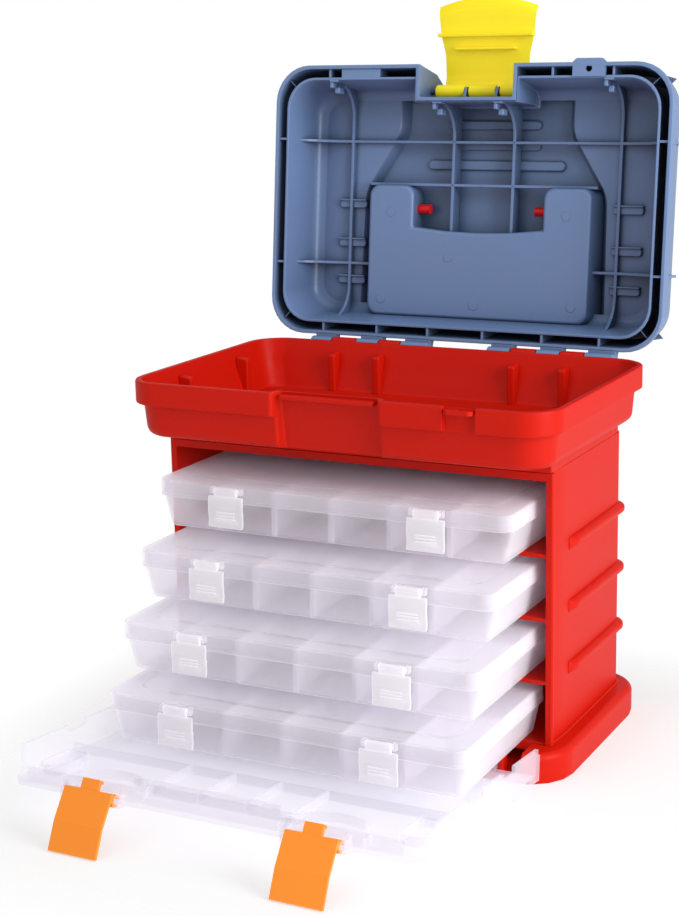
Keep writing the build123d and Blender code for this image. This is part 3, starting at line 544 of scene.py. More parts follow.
# Tray: one skin from the underside, round the bend, up the drafted wall, over the rim and down inside.
def trayShell(v):
    low = v["trayInset"] + v["draft"]
    bend, wall, rim, top = v["bend"], v["wall"], v["rim"], v["trayTop"]
    turn = np.linspace(0, pi / 2, 5)
    outer = [(low + bend * (1 - sin(t)), bend * (1 - cos(t))) for t in turn]
    outer += [(v["trayInset"], v["skirt"] - 0.6), (v["trayInset"] - 0.1, v["skirt"] - 0.2), (rim, v["skirt"])]
    outer += [(rim, top - 0.35), (rim + 0.35, top)]
    inner = [(rim + wall - 0.35, top), (rim + wall, top - 0.35), (rim + wall + 0.1, v["skirt"])]
    inner += [(low + wall + bend * (1 - cos(t)), wall + bend * (1 - sin(t))) for t in turn]
    return carried(caseOutline(v), v["corner"], outer + inner, steps=6)


# Slot ribs in pairs: thin bars with rounded noses on the front, middle and back walls.
def traySlots(v):
    low = v["trayInset"] + v["draft"] + v["wall"]
    pitch = (v["width"] - 2 * v["trayInset"]) / v["cells"]
    foot = v["wall"] - 0.3
    middle = v["depth"] / 2
    parts = []
    for k in range(1, v["cells"]):
        x = pitch * (k - v["cells"] / 2)
        for edge in (-1, 1):
            near = x + edge * (v["divider"] / 2 + 0.15 + v["slotWall"] / 2)
            limits = around(near, v["slotWall"] / 2)
            for y, reach in ((low, v["slotDepth"]), (middle, v["slotDepth"] + 1.0),
                             (v["depth"] - low, v["slotDepth"])):
                parts.append(block(limits, around(y, reach), (foot, v["trayTop"] - 2.2), 0.3, 0.38))
    half = v["width"] / 2 - low + 0.8
    across = around(middle, v["middleWall"] / 2)
    parts.append(block((-half, half), across, (foot, v["trayTop"] - 1.8), 0.4, 0.5))
    return parts


# Lid: one skin from under the raised panel, out and down inside the skirt, up outside and in over the top.
def caseLidShell(v):
    corners, radii = anticlockwise(caseOutline(v), v["corner"])
    inset, rise, skirt, wall = v["panelInset"], v["panelRise"], v["skirt"], v["wall"]
    panel = v["panelCorner"] + inset
    top, under = v["height"], v["height"] - wall
    edge = 1.5
    inner = [(wall + 1.0, under), (wall, under - 1.0), (wall, skirt + 0.3), (wall - 0.3, skirt)]
    outer = [(0.3, skirt), (0.0, skirt + 0.3), (0.0, skirt + 2.0), (0.25, skirt + 2.3)]
    outer += [(0.25 + edge * (1 - cos(t)), top - edge * (1 - sin(t))) for t in np.linspace(0, pi / 2, 5)]
    below = [(inset + 1.2, under + rise), (inset + 0.4, under + 0.1)]
    above = [(inset - 1.6, top), (inset - 0.9, top + 0.15), (inset - 0.3, top + rise - 0.12),
             (inset + 0.5, top + rise)]

    def carriedBy(radius, profile):
        return [level(corners, radius, inward, z, 6) for inward, z in profile]
    loops = carriedBy(panel, below) + carriedBy(radii, inner + outer) + carriedBy(panel, above)
    return skin(loops, True, True)


def caseLidFittings(v):
    y, z = clipValues["pivotY"], clipValues["pivotZ"]
    depth, skirt = v["depth"], v["skirt"]
    backY, backZ = depth + v["hingeBack"], skirt - v["hingeDrop"]
    ear = [(0.5, z - 2.2), (y - 1.2, z - 1.8), (y - 1.2, z + 1.8), (0.5, z + 2.2)]
    arm = [(depth - 1, skirt + 5), (depth - 1, skirt), (depth + 0.3, backZ - 2), (backY + 1.9, backZ - 2),
           (backY + 1.9, backZ + 1.5)]
    parts = []
    for centre in (-v["clipAt"], v["clipAt"]):
        for x in around(centre, v["earAt"]):
            parts.append(slab(ear, 0.9, x - 1.2, x + 1.2, 0.3, "x"))
        parts.append(rod(around(centre, 9), y, z, 1.0, 0.1, 12))
    for centre in (-v["clipAt"], v["clipAt"]):
        for x in around(centre, 5):
            parts.append(slab(arm, 0.6, x - 1, x + 1, 0.25, "x"))
        parts.append(rod(around(centre, 5), backY, backZ, 1.2, 0.2, 12))
    return parts


def trayFittings(v):
    parts = []
    low = v["trayInset"] + v["draft"]
    backY, backZ = v["depth"] + v["hingeBack"], v["skirt"] - v["hingeDrop"]
    for centre in (-v["clipAt"], v["clipAt"]):
        parts.append(block(around(centre, 8), (-0.8, low), v["catch"], 0.4, 0.6))
    web = (backZ - 2.4, backZ - 0.6)
    for centre in (-v["clipAt"], v["clipAt"]):
        span = around(centre, 3.5)
        parts.append(rod(span, backY, backZ, 2.7, 0.3, 14))
        parts.append(block(span, (v["depth"] - low - 0.5, backY), web, 0.3, 0.3))
    return parts


# Clip: a bowed plate under a barrel, with a step, grip ridges and the nose that catches.
clipValues = {
    "half": 12.0, "thick": 1.6, "length": 22.5, "pivotY": -2.6, "pivotZ": 28.2, "headHalf": 7.8,
    "stepHalf": 7.5, "step": (8.8, 11.0), "ridges": 3, "ridgeHalf": 6.5, "ridgePitch": 1.9,
}


def clipParts(v, centre):
    y, z = v["pivotY"], v["pivotZ"]
    tip, front = z - v["length"], y - 1.4
    inner = front + v["thick"]
    bow = [(front, z - 3.2), (front - 0.6, z - 11), (front - 0.05, tip + 4), (front - 0.85, tip + 0.1),
           (front + 0.35, tip - 0.2), (inner, tip + 4), (inner - 0.6, z - 11), (inner, z - 3.2)]
    radii = (0.3, 6, 3, 0.4, 0.4, 3, 6, 0.3)
    parts = [slab(bow, radii, centre - v["half"], centre + v["half"], 0.9, "x", 5)]
    head = [(front + 0.05, z - 4), (front - 0.4, z - 1.5), (y - 1.6, z + 2.1), (y + 1.2, z + 2.1),
            (y + 2.2, z), (inner, z - 4)]
    radii, half = (0.4, 1.2, 1.4, 1.4, 1.2, 0.4), v["headHalf"]
    parts.append(slab(head, radii, centre - half, centre + half, 0.5, "x", 4))
    parts.append(block(around(centre, v["stepHalf"]), (front + 0.5, -1.1), v["step"], 0.3, 0.4))
    ridge = (front - 0.75, front + 0.3)
    for k in range(v["ridges"]):
        low = tip + 5.2 + v["ridgePitch"] * k
        parts.append(block(around(centre, v["ridgeHalf"]), ridge, (low, low + 0.8), 0.3, 0.38))
    return parts


def sentTo(front, bottom):
    return lambda points: points + (0.0, front, bottom)


def makeCases():
    v = caseValues
    for number, (front, bottom) in enumerate(zip(v["fronts"], v["bottoms"]), start=1):
        name, place = f"case_{number}", sentTo(front, bottom)
        tray = [trayShell(v)] + traySlots(v) + trayFittings(v)
        lid = [caseLidShell(v)] + caseLidFittings(v)
        look = materials["case"]
        makePiece(f"case{number}Tray", tray, name, look, [f"{name}_tray"], place)
        makePiece(f"case{number}Lid", lid, f"{name}_lid", look, [f"{name}_lid"], place)
        for side, centre in (("left", -v["clipAt"]), ("right", v["clipAt"])):
            makePiece(f"case{number}Clip{side.title()}", clipParts(clipValues, centre), f"{name}_clip_{side}",
                      materials["clip"], [f"{name}_clip_{side}"], place)
    print("cases made")


makeCases()


# Lid, drawn closed and then swung to the open rest pose about its hinge
lidValues = {
    "half": 141.5, "front": -97.5, "back": 85.5, "corner": 25.0, "low": 226.5, "roof": 266.5, "crown": 274.5,
    "draft": 4.5, "leanTop": 257.5, "wall": 2.5, "channel": 8.0, "channelTop": 258.0, "ring": 10.0,
    "notchHalf": 33.5, "notchBack": -76.0, "hingeY": 91.0, "hingeZ": 222.5, "open": 96.4, "knuckle": 4.5,
    "wellHalf": 78.0, "wellFront": -11.5, "wellBack": 69.0, "gripFront": 15.5, "armInner": 50.0,
    "wellFloor": 256.5, "ribEdge": 260.0, "longRib": 98.0, "latchRibs": (-21.0, 23.0),
    "crossRibs": (-48.0, 36.5, -19.0), "backWebs": (-101.0, -60.0, -22.0, 18.0, 60.0, 99.5),
    "frontWebs": (-101.0, 60.0, 101.0), "wideWeb": (-92.0, -63.0), "wideWebTop": 240.0,
    "slantFrom": 8.4, "slantTo": 14.6, "slantHalf": 0.55, "roofRim": 11.5, "ceilingBend": 7.0,
    # corners of the crown's right side in plan, front to back
    "crownAt": ((61.0, -84.0), (61.0, -54.0), (86.0, -14.0), (88.0, 75.0)),
    "hingeSpans": ((-105.5, -90.1), (-70.9, -54.6), (-37.4, -19.0), (25.5, 41.4), (60.1, 75.9),
                   (93.1, 111.5)),
    "latchLugs": ((-8.0, -6.0), (14.5, 16.5)),
    "lugLine": ((-75.0, 240.5), (-84.0, 245.1), (-84.0, 251.9), (-75.0, 252.5)),
    "eyeTab": (74.0, 96.0),
}


def swungLid(points):
    v = lidValues
    return turned(points, -radians(v["open"]), v["hingeY"], v["hingeZ"])


# One loop of the lid: a rounded rectangle with the latch notch cut into its front.
def lidLoop(inset, grow, z):
    v = lidValues
    x, front, back = v["half"] - inset, v["front"] + inset, v["back"] - inset
    notch, notchBack = v["notchHalf"] + grow, v["notchBack"] + grow
    corners = [(-x, front), (-notch, front), (-notch, notchBack), (notch, notchBack), (notch, front),
               (x, front), (x, back), (-x, back)]
    big, sharp = v["corner"] - inset / 2, 0.8
    return raised(roundedLoop(corners, [big] + [sharp] * 4 + [big] * 3, 8), z)


# The walls lean in by draft * (z - low) / (leanTop - low), and bend into the roof above leanTop.
def leaned(z):
    v = lidValues
    return v["draft"] * min(1.0, max(0.0, (z - v["low"]) / (v["leanTop"] - v["low"])))


# The crown in plan, cut round the latch notch and widening toward the handle. The outside keeps closer
# to the notch than the inside.
def crownLoop(grow, z, close):
    v = lidValues
    notch, back = v["notchHalf"] + 3.0 - min(grow, 0) * 0.4, v["notchBack"] + 3.0 + (0 if close else 1.5)
    ahead, *behind, end = v["crownAt"]
    front = ahead[1] - (grow * 0.4 if close else 0)
    right = [(notch, back), (notch, front), (ahead[0] + grow, front)] + [(x + grow, y) for x, y in behind]
    right.append((end[0] + grow, end[1] + grow * 0.6))
    radii = [3, 3, 5, 26, 26, 9]
    corners = right + [(-x, y) for x, y in reversed(right)]
    return raised(roundedLoop(corners, radii + radii[::-1], 6), z)


# The handle well in plan: a wide slot with two arms round the grip's bowed front.
def wellLoop(grow, z, radius, lean=0.0, ahead=0.0):
    v = lidValues
    half, arm = v["wellHalf"] + grow + lean, v["armInner"] - grow
    back, front, grip = v["wellBack"] + grow, v["wellFront"] - grow - ahead, v["gripFront"] - grow
    left = [(-half, back), (-half, front), (-arm, front), (-arm, grip - 3.2), (-arm * 0.5, grip - 0.9)]
    corners = left + [(0, grip - 0.2)] + [(-x, y) for x, y in reversed(left)]
    radii = [radius, radius, radius, 1.5, 40]
    return raised(roundedLoop(corners, radii + [40] + radii[::-1], 4), z)


# From the roof's rim down outside, up within the outer wall to the top of the channel, down the second
# wall's outer side to its foot, and up its inner side to the ceiling, into which it bends as a quarter
# circle, bend * (1 - cos t) inwards against bend * sin t upwards.
def lidWalls():
    v = lidValues
    rim, bend = v["roofRim"], v["ceilingBend"]
    low, roof, wall, channel, ring = v["low"], v["roof"], v["wall"], v["channel"], v["ring"]
    lean, top = leaned(v["channelTop"]), v["channelTop"]
    path = [(rim, 0, roof), (rim - 2.0, 0, roof - 0.5), (lean + 1.5, 0, roof - 7.5), (lean, 0, roof - 10.0),
            (0.25, 0, low + 3.4), (0.0, 0, low + 2.8), (0.0, 0, low + 0.5), (0.4, 0.2, low),
            (wall - 0.3, wall - 0.3, low), (wall, wall, low + 0.3), (wall + lean, wall, top),
            (channel + lean, wall, top), (channel + 0.2, wall, low + 1.3),
            (channel + 0.5, wall + 0.3, low + 1.0), (ring - 0.4, wall + 0.5, low + 1.0),
            (ring + 0.1, wall + 0.8, low + 1.6)]
    for t in np.linspace(0, pi / 2, 5):
        z = roof - wall - bend + bend * sin(t)
        path.append((ring + leaned(z) + bend * (1 - cos(t)), wall + 0.8 + 2.0 * (1 - cos(t)), z))
    return [lidLoop(*place) for place in path]


def lidShell():
    v = lidValues
    roof, crown, wall = v["roof"], v["crown"], v["wall"]
    walls = lidWalls()
    parts = [turnedOver(skin(walls))]
    # Roof and crown outside, with the handle well sunk into it
    crownFoot, crownTop = crownLoop(5.0, roof, True), crownLoop(0.0, crown, True)
    crownSide = [crownLoop(4.0, roof + 0.8, True), crownLoop(1.2, crown - 0.8, True)]
    well = [wellLoop(0.8, crown, 5), wellLoop(0.2, crown - 0.5, 5), wellLoop(0, v["wellFloor"] + 2, 5),
            wellLoop(-1.5, v["wellFloor"], 4)]
    parts += [flatFace(walls[0], [crownFoot]), skin([crownFoot] + crownSide + [crownTop])]
    parts += [flatFace(crownTop, [well[0]]), skin(well, False, True)]
    # Ceiling and crown inside, with the handle box standing down from it
    ceiling, inner = roof - wall, crown - wall
    innerFoot, innerTop = crownLoop(2.5, ceiling, False), crownLoop(-2.5, inner, False)
    innerSide = [crownLoop(1.2, ceiling + 1.2, False), crownLoop(-1.6, inner - 1.5, False)]
    parts += [flatFace(walls[-1], [innerFoot], False), turnedOver(skin([innerFoot] + innerSide + [innerTop]))]
    face, soft = v["wellFloor"] - wall, 2.4
    box = [wellLoop(wall, inner, 7, 5.0, 4.6), wellLoop(wall, face + soft, 7, 0.6, 4.4)]
    for t in np.linspace(0, pi / 2, 5)[1:]:
        box.append(wellLoop(wall - soft * (1 - cos(t)), face + soft * (1 - sin(t)), 7, 0.6, 4.4))
    parts += [flatFace(innerTop, [box[0]], False), turnedOver(skin(box, False, True))]
    return parts


# A rib along y under the roof: a straight free edge, and at each end a quarter of an ellipse that brings
# it down to the rim, spread * (1 - cos a) along y against rise * sin a upwards.
def longRib(x, front, back, bothEnds=True, thick=1.1):
    v = lidValues
    edge, rim = v["ribEdge"], v["low"] + 1.6
    rise = edge - rim
    t = np.linspace(0, pi / 2, 9)
    spread = rise * 0.72
    points = [(front + spread * (1 - cos(a)), rim + rise * sin(a)) for a in t]
    rounded = [(back - spread * (1 - cos(a)), rim + rise * sin(a)) for a in t[::-1]]
    points += rounded if bothEnds else [(back, edge)]
    points += [(back + 1.5, v["crown"] - 3.5), (front - 1.5, v["crown"] - 3.5)]
    return slab(points, 0.2, x - thick, x + thick, 0.45, "x", 2, 2)


# A rib along x, which comes down to the rim in the same way or ends square.
def crossRib(y, start, stop, rising=True, thick=1.0):
    v = lidValues
    edge, rim = v["ribEdge"], v["low"] + 1.4
    rise = edge - rim
    t = np.linspace(0, pi / 2, 9)
    points = [(v["roof"] - 0.8, start), (edge, start)]
    rounded = [(rim + rise * sin(a), stop - 36.0 * (1 - cos(a))) for a in t[::-1]]
    points += rounded if rising else [(edge, stop)]
    points += [(v["roof"] - 0.8, stop)]
    return slab(points, 0.2, y - thick, y + thick, 0.4, "y", 2, 2)


# The small C-shaped foot where a rib meets the rim.
def ribFoot(x, y):
    low = lidValues["low"] + 1.2
    return [block(around(x, 3.4), (y, y + 2.2), (low, low + 7.5), 0.7, 0.8),
            block((x - 3.4, x - 0.8), (y + 1.5, y + 6.0), (low + 1.0, low + 8.5), 0.8, 0.9),
            block((x - 1.6, x + 2.2), (y + 5.0, y + 9.5), (low + 5.0, low + 13.0), 0.9, 1.0)]


# Webs across the channel between the two walls, with a slanted one at each corner and a wide one at the
# front left.
def channelWebs():
    v = lidValues
    web = (v["low"] + 1.6, v["channelTop"] + 0.2)
    outer, inner, half = 1.8, v["channel"] + 1.2, 0.8
    behind, ahead = (v["back"] - inner, v["back"] - outer), (v["front"] + outer, v["front"] + inner)
    parts = [block(around(x, half), behind, web, 0.3, 0.3) for x in v["backWebs"]]
    parts += [block(around(x, half), ahead, web, 0.3, 0.3) for x in v["frontWebs"]]
    parts.append(block(v["wideWeb"], ahead, (v["low"] + 1.2, v["wideWebTop"]), 0.5, 0.6))
    for side in (-1, 1):
        across = sorted((side * (v["half"] - outer), side * (v["half"] - inner)))
        for y in v["crossRibs"][:2]:
            parts.append(block(across, around(y, half), web, 0.3, 0.3))
        for front, sign in ((v["front"], 1), (v["back"], -1)):
            x0, y0 = side * (v["half"] - v["slantFrom"]), front + sign * v["slantFrom"]
            x1, y1 = side * (v["half"] - v["slantTo"]), front + sign * v["slantTo"]
            dx, dy = v["slantHalf"] * side, -v["slantHalf"] * sign
            strip = [(x0 - dx, y0 - dy), (x0 + dx, y0 + dy), (x1 + dx, y1 + dy), (x1 - dx, y1 - dy)]
            parts.append(slab(strip, 0.2, web[0], web[1], 0.3))
    return parts


def lidRibs():
    v = lidValues
    front, back = v["front"] + v["ring"] - 0.6, v["back"] - v["ring"] + 0.6
    sides = (-v["longRib"], v["longRib"])
    reach = v["half"] - v["ring"] + 0.8
    ahead, beside, gripped = v["crossRibs"]
    parts = [longRib(x, front, back) for x in sides]
    parts += [longRib(x, v["notchBack"] + 1.5, v["gripFront"] - 1.0, False) for x in v["latchRibs"]]
    parts += bothSides([crossRib(ahead, 0.0, reach), crossRib(beside, v["wellHalf"] + 1.0, reach),
                        crossRib(gripped, 0.0, 83.0, False)])
    for x in sides:
        parts += ribFoot(x, front - 0.4)
    for x in v["latchRibs"]:
        parts += ribFoot(x, v["notchBack"] + 2.0)
    return parts


# Pills hold their y, their two ends and half their height.
lidMarkValues = {
    "padRows": (-5.0, 22.0, 48.0), "padsAt": (-97.0, 104.0), "padHalf": 10.5, "sunk": 0.4,
    "pills": ((-33.0, -44.0, 56.0, 3.4), (-60.0, -30.0, 38.0, 3.2), (-46.0, -24.0, 38.0, 3.0)),
    "ejectors": ((-64.0, 0.0), (64.0, 0.0), (-70.0, 60.0), (70.0, 60.0), (0.0, 62.0), (-20.0, 30.0)),
    "ejectorRadius": 3.2,
}


# Low pads on the ceiling beside the ribs, pill ridges on the crown and ejector marks on the box.
def lidMarks():
    v, marks = lidValues, lidMarkValues
    sunk = marks["sunk"]
    ceiling, crown, face = v["roof"] - v["wall"], v["crown"] - v["wall"], v["wellFloor"] - v["wall"]
    parts = []
    for y in marks["padRows"]:
        for x in marks["padsAt"]:
            across = around(x, marks["padHalf"])
            parts.append(block(across, around(y, 3.0), (ceiling - 2.2, ceiling + sunk), 0.9, 2.0))
            parts.append(block(across, (y - 3.2, y - 2.0), (ceiling - 3.6, ceiling + sunk), 0.5, 0.6))
    for y, start, stop, tall in marks["pills"]:
        parts.append(block((start, stop), around(y, tall), (crown - 2.4, crown + sunk), 1.9, 3.0))
    turn = np.linspace(0, 2 * pi, 16, endpoint=False)
    for x, y in marks["ejectors"]:
        ring = [(x + marks["ejectorRadius"] * cos(a), y + marks["ejectorRadius"] * sin(a)) for a in turn]
        parts.append(slab(ring, 0.1, face - 0.3, face + 0.5, 0.15, steps=1, rim=1))
    return parts


# A hinge knuckle: a barrel on a web whose outline lies in (y, z).
def knuckle(span, y, z, radius, web):
    return [rod(span, y, z, radius, 0.5, 28), slab(web, 0.6, span[0] + 0.05, span[1] - 0.05, 0.4, "x", 2, 2)]


# A tab with a round eye, lying flat.
def eyeTab(x, front, back, low, high, centre, radius):
    middle, half = (x[0] + x[1]) / 2, (x[1] - x[0]) / 2
    left = [(middle - half, back), (middle - half, front + 2.2), (middle - half + 2.4, front)]
    corners = left + [(2 * middle - px, py) for px, py in reversed(left)]
    turn = np.linspace(0, 2 * pi, 24, endpoint=False)
    hole = np.column_stack([middle + radius * np.cos(turn), centre + radius * np.sin(turn)])
    outline = roundedLoop(corners, (0.4, 2.0, 2.0, 2.0, 2.0, 0.4), 4)
    under, over = raised(outline, low), raised(outline, high)
    holeUnder, holeOver = raised(hole, low), raised(hole, high)
    return [flatFace(under, [holeUnder], False), flatFace(over, [holeOver]), skin([under, over]),
            skin([holeUnder[::-1], holeOver[::-1]])]


def lidFittings():
    v = lidValues
    y, z, low, back = v["hingeY"], v["hingeZ"], v["low"], v["back"]
    parts = []
    web = [(back - 1.5, low), (y - 3, low), (y, z), (y + 4.4, z), (y + 3, low + 5), (back - 1.5, low + 8)]
    for span in v["hingeSpans"]:
        parts += knuckle(span, y, z, v["knuckle"], web)
    for start, stop in v["latchLugs"]:
        parts.append(slab(v["lugLine"], 2.0, start, stop, 0.3, "x"))
    front = v["front"]
    parts += eyeTab(v["eyeTab"], front - 2.5, front + 9.0, low + 0.02, low + 2.5, front + 3.9, 2.2)
    return parts


def makeLid():
    parts = lidShell() + lidRibs() + channelWebs() + lidMarks() + lidFittings()
    makePiece("lidShell", parts, "lid", materials["slate"], ["lid_shell"], swungLid, 45)
    print("lid made")


makeLid()


# Lid latch, drawn hanging closed in front of the lid
latchValues = {
    "pivotY": -81.0, "pivotZ": 248.5, "open": 83.6, "knuckle": 4.4, "thick": 1.7, "bow": 6.0, "bowFrom": 0.6,
    "plateY": -98.0, "hookY": -92.5, "hookHalf": 22.0, "hookDrop": 27.0, "ribHalf": 34.4, "ribDrop": 37.0,
    "ribReach": 5.0, "spans": ((-29.5, -8.5), (-5.5, 14.0), (17.0, 29.5)),
    # y, height over the pivot and half width
    "line": ((-83.0, 3.6, 29.8), (-89.5, 2.9, 29.8), (-94.6, -1.6, 29.8), (-98.0, -8.2, 29.8),
             (-98.0, -24.0, 30.4), (-98.0, -36.0, 33.4), (-98.0, -50.0, 34.6), (-98.6, -56.0, 35.0),
             (-100.6, -61.2, 35.4)),
}


# Distance run along a line of points, as a share of the whole.
def shareRun(points):
    run = np.concatenate([[0.0], np.cumsum(np.linalg.norm(np.diff(points, axis=0), axis=1))])
    return run / run[-1]


def openLatch(points):
    v = latchValues
    return swungLid(turned(points, -radians(v["open"]), v["pivotY"], v["pivotZ"]))


# The plate as a bent sheet: rows run along its line, and across each row the height gains
# bow * (x / half)^2 * s^2, s running from 0 at bowFrom to 1 at the tip, so that the tip is bowed. The
# plate thins toward its sides as sqrt(1 - 0.75 * (x / half)^8).
def latchPlate():
    v = latchValues
    given = np.array(v["line"]) + (0.0, v["pivotZ"], 0.0)
    line = soften(given[:, :2], 4.0, 3)
    share = shareRun(line)
    half = np.interp(share, shareRun(given[:, :2]), given[:, 2])
    ahead = np.gradient(line, axis=0)
    ahead /= np.linalg.norm(ahead, axis=1, keepdims=True)
    normal = np.column_stack([ahead[:, 1], -ahead[:, 0]])
    across = np.linspace(-1, 1, 17)
    thinned = np.sqrt(1 - 0.75 * across ** 8)
    loops = []
    for k in range(len(line)):
        lift = v["bow"] * across ** 2 * np.clip((share[k] - v["bowFrom"]) / (1 - v["bowFrom"]), 0, 1) ** 2
        sides = []
        for side in (-0.5, 0.5):
            y = line[k, 0] + side * v["thick"] * thinned * normal[k, 0]
            z = line[k, 1] + lift + side * v["thick"] * thinned * normal[k, 1]
            sides.append(np.column_stack([across * half[k], y, z]))
        loops.append(np.concatenate([sides[0], sides[1][::-1]]))
    return skin(loops, True, True)


def makeLatch():
    v = latchValues
    y, z = v["pivotY"], v["pivotZ"]
    parts = [latchPlate()]
    for span in v["spans"]:
        parts.append(rod(span, y, z, v["knuckle"], 0.8, 28))
        parts.append(block(span, (y - 7.0, y), (z + 1.6, z + 4.2), 0.6, 0.8))
    hook, rib = z - v["hookDrop"], z - v["ribDrop"]
    plate, ribEnd = v["plateY"], v["plateY"] + v["ribReach"]
    catch = (-v["hookHalf"], v["hookHalf"])
    parts.append(block(catch, (plate + 0.5, v["hookY"]), (hook - 1.8, hook), 0.6, 0.8))
    parts.append(block((-v["ribHalf"], v["ribHalf"]), (plate, ribEnd), around(rib, 1.3), 0.6, 0.8))
    look = materials["yellow"]
    makePiece("latchShell", parts, "lid_latch", look, ["lid_latch"], openLatch, 50)
    print("latch made")


makeLatch()


# Top bin
binValues = {
    "half": 140.0, "front": -96.0, "back": 84.0, "corner": 23.0, "top": 226.0, "bandLow": 211.5,
    "bandStep": 4.0, "lip": 2.5, "ribsAt": (-80.7, -47.3, 49.7, 84.4), "sideRibs": (36.0, -36.0),
    "ribHalf": 2.6, "ribDrop": 7.5,
    "hingeSpans": ((-89.5, -71.5), (-54.0, -38.0), (42.0, 59.5), (76.5, 92.5)),
    "low": 191.0, "floor": 193.5, "footInset": 9.7, "roundHeight": 6.0, "roundInset": 4.5,
    "recessHalf": 32.0, "recessFlare": 6.0, "recessTop": -89.0, "recessFoot": -84.0, "wall": 2.5,
    "haspFrom": 75.0, "haspTo": 95.0, "haspDepth": 3.0, "lipHalf": 31.0,
    "pocketX": (50.0, 92.0), "pocketY": (-83.8, -79.0), "pocketDeep": 6.0,
    # half width, front, back and corner of the hollow, from the floor up
    "tubFloor": (127.8, -75.0, 71.8, 11.5), "tubStep": (133.5, -88.5, 77.5, 12.5),
    "tubRim": (136.0, -92.0, 80.0, 19.0), "footTop": 184.0,
}


# The recess wall leans back: y = recessTop + (recessFoot - recessTop) * (top - z) / (top - low).
def recessAt(z, grow=0.0):
    v = binValues
    share = (v["top"] - z) / (v["top"] - v["low"])
    return v["recessTop"] + (v["recessFoot"] - v["recessTop"]) * share + grow


# One loop of the bin: a rounded rectangle with the latch recess cut into its front, and a notch of depth
# gap for the padlock tab.
def binLoop(x, front, back, corner, z, recess, half, gap=0.0):
    v = binValues
    recess = max(recess, front + 0.02)
    wide = half + v["recessFlare"] * (recess - front) / (recess - v["front"] + v["recessFlare"])
    notch = front + max(gap, 0.02)
    left, right = v["haspFrom"], v["haspTo"]
    hasp = [(left, front), (left + 0.01, notch), (right - 0.01, notch), (right, front)]
    corners = [(-x, front), (-wide, front), (-half, recess), (half, recess), (wide, front)] + hasp
    corners += [(x, front), (x, back), (-x, back)]
    radii = [corner, 2.5, 2.0, 2.0, 2.5] + [0.4] * len(hasp) + [corner] * 3
    return raised(roundedLoop(corners, radii, 8), z)


def binOutside(inset, z, gap=0.0):
    v = binValues
    return binLoop(v["half"] - inset, v["front"] + inset, v["back"] - inset, v["corner"] - inset / 2, z,
                   recessAt(z), v["recessHalf"], gap)


def binInside(share, z, ends, inset=0.0):
    low, high = ends
    x, front, back, corner = (a + (b - a) * share for a, b in zip(low, high))
    return binLoop(x - inset, front + inset, back - inset, corner, z, recessAt(z, binValues["wall"] + inset),
                   binValues["recessHalf"] + binValues["wall"])


# Outside from the foot up over the band, then the hollow down to its floor. The foot is rounded as
# inset = footInset - roundInset * cos t and z = low + roundHeight * (1 - sin t).
def binShell():
    v = binValues
    top, band, step, gap, floor = v["top"], v["bandLow"], v["bandStep"], v["haspDepth"], v["floor"]
    loops = []
    for t in np.linspace(pi / 2, 0, 7):
        inset = v["footInset"] - v["roundInset"] * cos(t)
        loops.append(binOutside(inset, v["low"] + v["roundHeight"] * (1 - sin(t))))
    outside = [(step + 0.15, band - 1.0, 0.0), (step - 0.5, band - 0.1, 0.0), (0.8, band, gap - 0.8),
               (0.2, band + 0.3, gap - 0.2), (0.0, band + 1.0, gap), (0.0, top - 1.2, gap),
               (0.35, top - 0.35, gap), (1.2, top, gap - 1.0)]
    loops += [binOutside(*place) for place in outside]
    rim, tub = (v["tubStep"], v["tubRim"]), (v["tubFloor"], v["tubStep"])
    hollow = [(1.0, top, rim, -0.9), (1.0, top - 0.3, rim, -0.25), (0.96, top - 1.2, rim), (0.0, band, rim),
              (0.55, 204.0, tub), (0.1, floor + 2.6, tub), (0.0, floor + 0.8, tub), (0.0, floor, tub, 0.9)]
    loops += [binInside(*place) for place in hollow]
    return [skin(loops, False, True), binUnderside(loops[0])]


# The underside, with the channels for the cover latches' tongues.
def binUnderside(foot):
    v = binValues
    pockets = []
    parts = []
    for side in (-1, 1):
        corners = boxCorners(sorted(side * x for x in v["pocketX"]), v["pocketY"])
        outline = roundedLoop(corners, [0.8] * 4, 3)
        rims = [raised(outline, v["low"]), raised(outline, v["low"] + v["pocketDeep"])]
        pockets.append(rims[0])
        parts.append(turnedOver(skin(rims, False, True)))
    parts.append(flatFace(foot, pockets, False))
    return gathered(parts)


